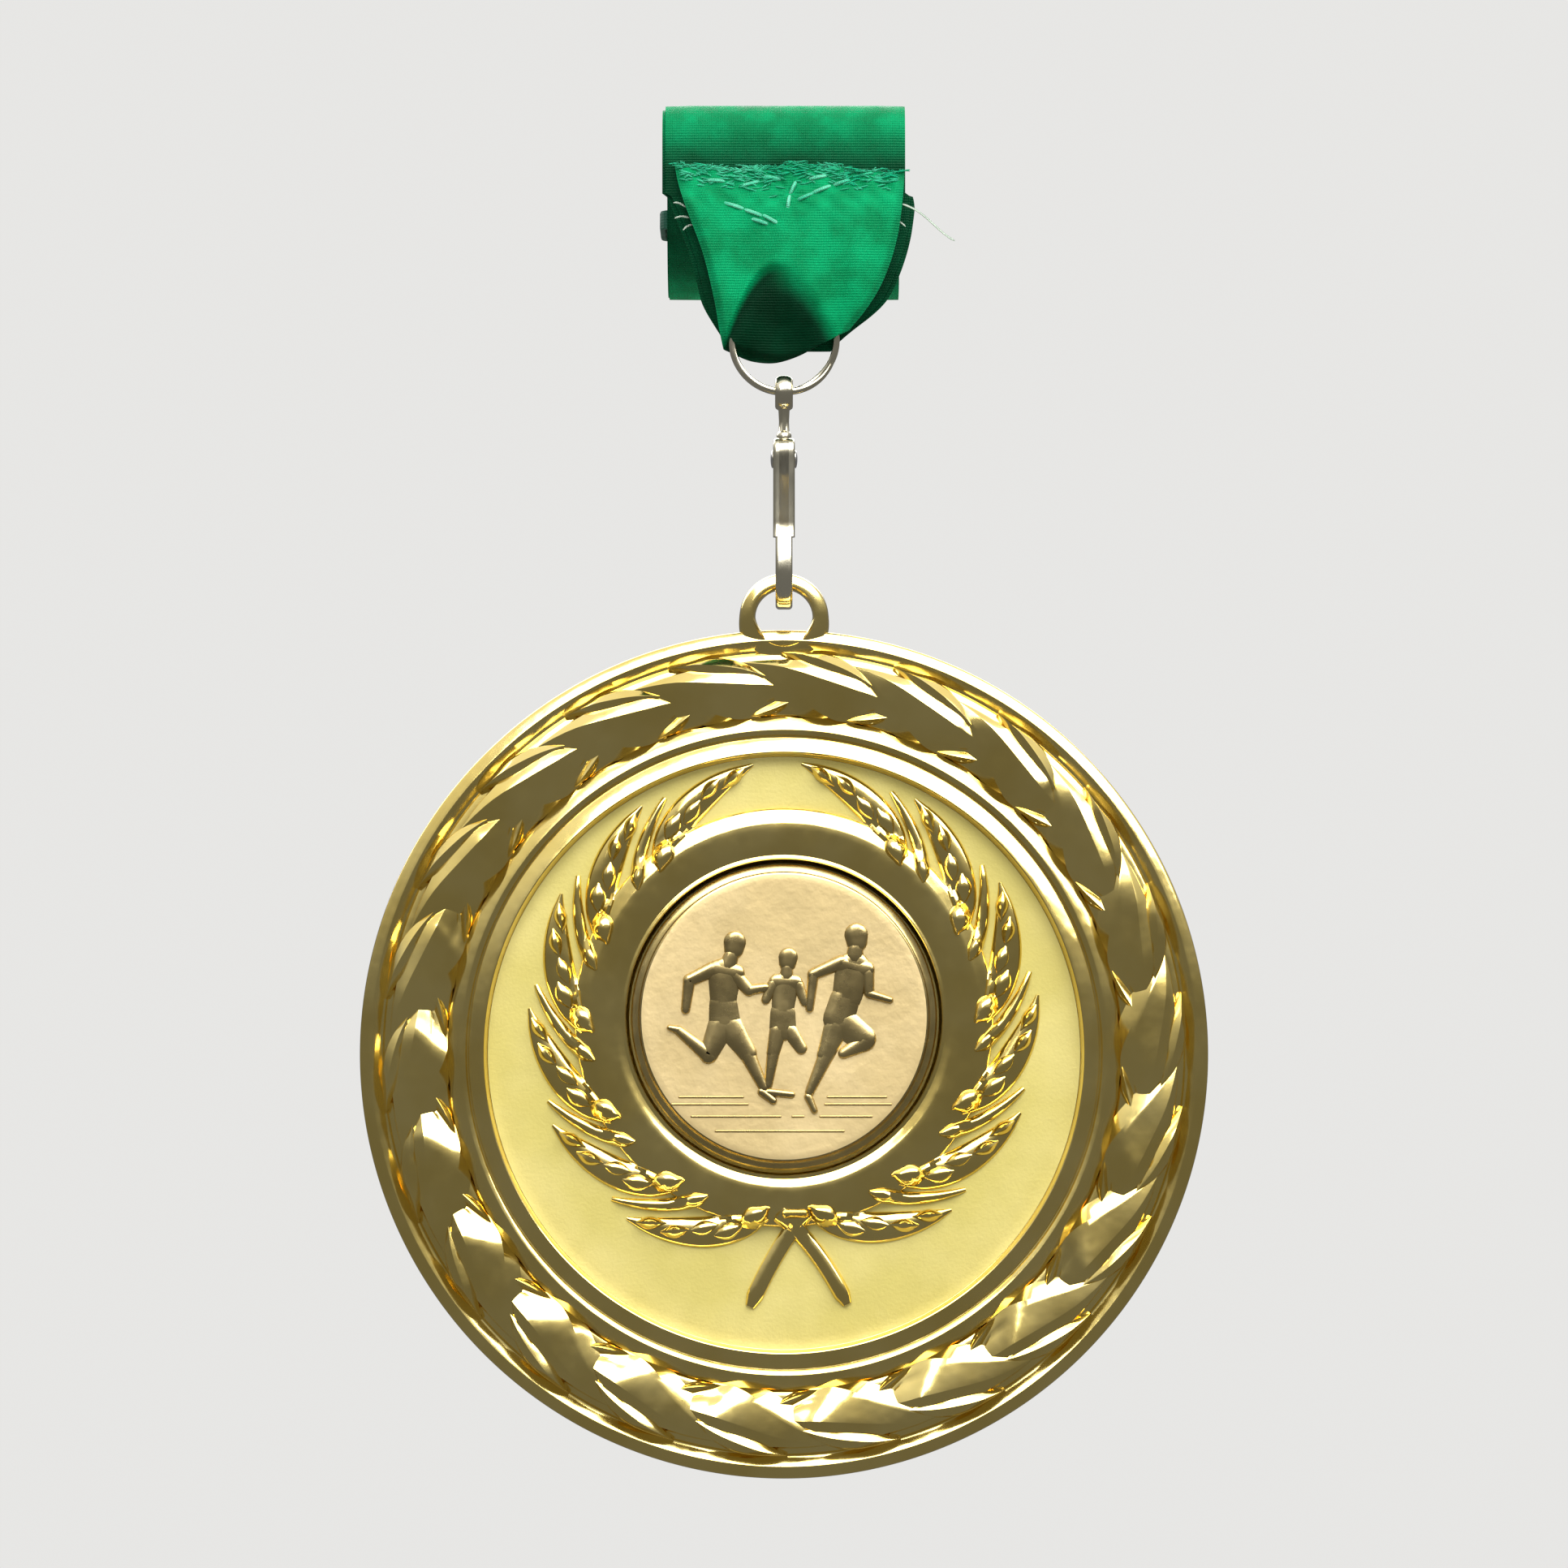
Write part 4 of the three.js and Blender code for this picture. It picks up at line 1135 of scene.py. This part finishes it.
def make_fray():
    """Fibres that stand out of the raw edge, and a softer fuzz of loose loops just under it."""
    rng = random.Random(7)
    shell = Shell()
    for _ in range(FIBRES):
        x = rng.uniform(-9.1, 10.0)
        z = wavy_top(x) - rng.uniform(0.0, 0.12)
        y, _ = front_sheet(min(max(x, -8.9), 9.8), z - 0.3)
        lean = rng.gauss(0, 0.6)
        rise = rng.uniform(0.12, 0.5)
        bend = rng.uniform(-0.3, 0.3)
        path = []
        for t in (0, 0.35, 0.7, 1):
            droop = 0.18 * t * t
            out = 0.15 - rng.uniform(0, 0.12) - 0.1 * t
            path.append((x + lean * t + bend * t * t, y + out, z + rise * t - droop))
        tube(shell, path, rng.uniform(0.035, 0.06), 4)
    for _ in range(LOOPS):
        x = rng.uniform(-8.8, 9.8)
        z = wavy_top(x) - abs(rng.gauss(0, 0.8)) - 0.05
        left, right = front_edges(z)
        if not left + 0.5 < x < right - 0.5:
            continue
        y, _ = front_sheet(x, z)
        reach = rng.uniform(0.35, 1.1)
        slope = rng.uniform(-0.35, 0.35)
        path = [(x + reach * (t - 0.5), y + 0.03 - 0.13 * sin(pi * t), z + slope * (t - 0.5))
                for t in (0, 0.25, 0.5, 0.75, 1)]
        tube(shell, path, rng.uniform(0.04, 0.085), 4)
    return shell.make("frayed_edge", [FRAY_AND_HIGHLIGHT], 60)


def make_loose_threads():
    shell = Shell()
    start = (9.6, -0.7)
    sweep = bezier(start, (11, -0.6), (12.6, -0.5), (14.2, -0.4), 18)
    path = [(x, y, 70.6 - 0.62 * (x - start[0]) + 0.28 * sin((x - start[0]) * 1.1)) for x, y in sweep]
    tube(shell, path, 0.085, 6)
    for x, z, dx, dz in ((-8.2, 70.4, -1.0, 0.3), (-7.9, 69.5, -1.2, -0.1), (-7.6, 68.9, -0.8, -0.5),
                         (9.3, 69.2, 0.8, -0.5)):
        path = [(x + dx * t, 0.2 - 0.3 * t, z + dz * t + 0.15 * sin(3 * t)) for t in np.linspace(0, 1, 6)]
        tube(shell, path, 0.08, 6)
    return shell.make("loose_threads", [PALE_THREAD], 60)


# ---- Roll tie ----
def make_tie():
    """A woven band through the roll's open core, closed round the outside at the back."""
    shell = Shell()
    low, high = ((Vector(c) - ORIGIN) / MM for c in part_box("roll_tie"))
    thick, corner = 0.5, 1.1
    left, right = low.x + thick / 2 + corner, high.x - thick / 2 - corner
    near, far = low.y + thick / 2 + corner, high.y - thick / 2 - corner
    z_middle, half = (low.z + high.z) / 2, (high.z - low.z) / 2
    loop = []
    for center, start in (((right, far), 0), ((left, far), 90), ((left, near), 180), ((right, near), 270)):
        loop += arc(center, corner, start, start + 90, 8)
    section = (-1, -0.8), (-0.7, -1), (0.7, -1), (1, -0.8), (1, 0.8), (0.7, 1), (-0.7, 1), (-1, 0.8)
    rings, marks = [], []
    for i, (x, y) in enumerate(loop):
        before, after = loop[i - 1], loop[(i + 1) % len(loop)]
        length = dist(before, after)
        out = ((after[1] - before[1]) / length, -(after[0] - before[0]) / length)
        ring = []
        for a, b in section:
            ring.append((x + out[0] * a * thick / 2, y + out[1] * a * thick / 2, z_middle + b * half))
        rings.append(ring)
        marks.append([(b * half, i * 0.6, 1) for _, b in section])
    shell.loft(rings, ends="joined", marks=marks)
    return shell.make("roll_tie_band", [BAND], 50)


# ---- Putting the object together ----
def place_metal():
    casting = "medal", "medal_casting", "gold_plating"
    insert = "medal", "center_insert", "embossed_insert"
    for piece, body, node, slot in (
        (make_disc(), *casting), (make_garland(), *casting), (make_wreath(), *casting),
        (make_insert(), *insert), (make_figures(), *insert),
        (make_ring(), "ring", "split_ring", "champagne_plating"),
        (make_hook(), "clip", "clip_hook", "champagne_plating"),
        (make_gate(), "gate", "clip_gate", "champagne_plating"),
        (make_rivet(), "clip", "gate_rivet", "bright_steel"),
    ):
        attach(piece, body)
        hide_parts(node)


def place_ribbon():
    front = make_front()
    legs, legs_length = make_legs()
    roll, roll_length = make_roll()
    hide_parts("ribbon_ring_sleeve", "ribbon_front_tab")
    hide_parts("ribbon_legs")
    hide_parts("ribbon_roll")
    for piece in (front, legs):
        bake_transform(piece)
    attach(roll, "ribbon")
    for piece in (make_stitches(), make_fray(), make_loose_threads()):
        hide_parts("tab_stitching")
        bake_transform(piece)
    tie = make_tie()
    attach(tie, "ribbon")
    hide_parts("roll_tie")


def finish_kept_nodes():
    for name, look in (("insert_adhesive_pad", FOAM), ("gate_spring", STEEL)):
        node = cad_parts[name]
        node.data.materials.clear()
        node.data.materials.append(look)


# ---- Stage ----
def area_light(name, place, size, power):
    """A rectangular lamp that faces the disc."""
    light = bpy.data.lights.new(name, "AREA")
    light.shape = "RECTANGLE"
    light.size, light.size_y = size
    light.energy = power
    lamp = add_object(name, light)
    point(lamp, place, ORIGIN - Vector(place))
    return lamp


def make_floor():
    reach = 6
    level = CAD_BOX[0].z - 0.35
    mesh = bpy.data.meshes.new("floor")
    corners = ((-reach, -reach), (reach, -reach), (reach, reach), (-reach, reach))
    mesh.from_pydata([(x, y, level) for x, y in corners], [], [(0, 1, 2, 3)])
    floor = add_object("floor", mesh)
    look, tree, shader = new_material("pale_floor", (0.72, 0.71, 0.69), 0, 0.9)
    tones = (0.70, 0.69, 0.67), (0.74, 0.73, 0.71)
    set_inputs(tree, shader, {"Base Color": ramp(tree, noise(tree, 3), 0.3, 0.7, tones)})
    mesh.materials.append(look)
    floor.visible_glossy = False


def make_world():
    """A pale backdrop for the camera, and for all else a room that is lighter at the top."""
    world = bpy.data.worlds.new("studio")
    bpy.context.scene.world = world
    world.use_nodes = True
    tree = world.node_tree
    backdrop = tree.nodes["Background"]
    set_inputs(tree, backdrop, {"Color": (0.80, 0.795, 0.78, 1), "Strength": 1})
    place = add_node(tree, "TexCoord", {}).outputs["Generated"]
    axes = add_node(tree, "SeparateXYZ", {"Vector": place})
    rise = spread(tree, axes.outputs["Z"], 0.1, 0.8, 0.2, 1.3)
    rise.interpolation_type = "SMOOTHSTEP"
    room = add_node(tree, "Background", {"Strength": rise.outputs["Result"]})
    seen = add_node(tree, "LightPath", {}).outputs["Is Camera Ray"]
    shaders = {1: room.outputs["Background"], 2: backdrop.outputs["Background"]}
    choose = add_node(tree, "MixShader", {"Fac": seen, **shaders})
    set_inputs(tree, tree.nodes["World Output"], {"Surface": choose.outputs["Shader"]})


def make_lights():
    area_light("ceiling", (0.16, -0.42, 0.46), (1.3, 0.5), 12)
    area_light("fill", (0.1, -0.9, 0.1), (0.5, 0.9), 1.2).visible_glossy = False
    area_light("behind", (-0.15, 0.7, 0.42), (1.1, 0.5), 6)


place_metal()
place_ribbon()
finish_kept_nodes()
make_floor()
make_lights()
make_world()
bpy.context.scene.view_settings.view_transform = "Standard"
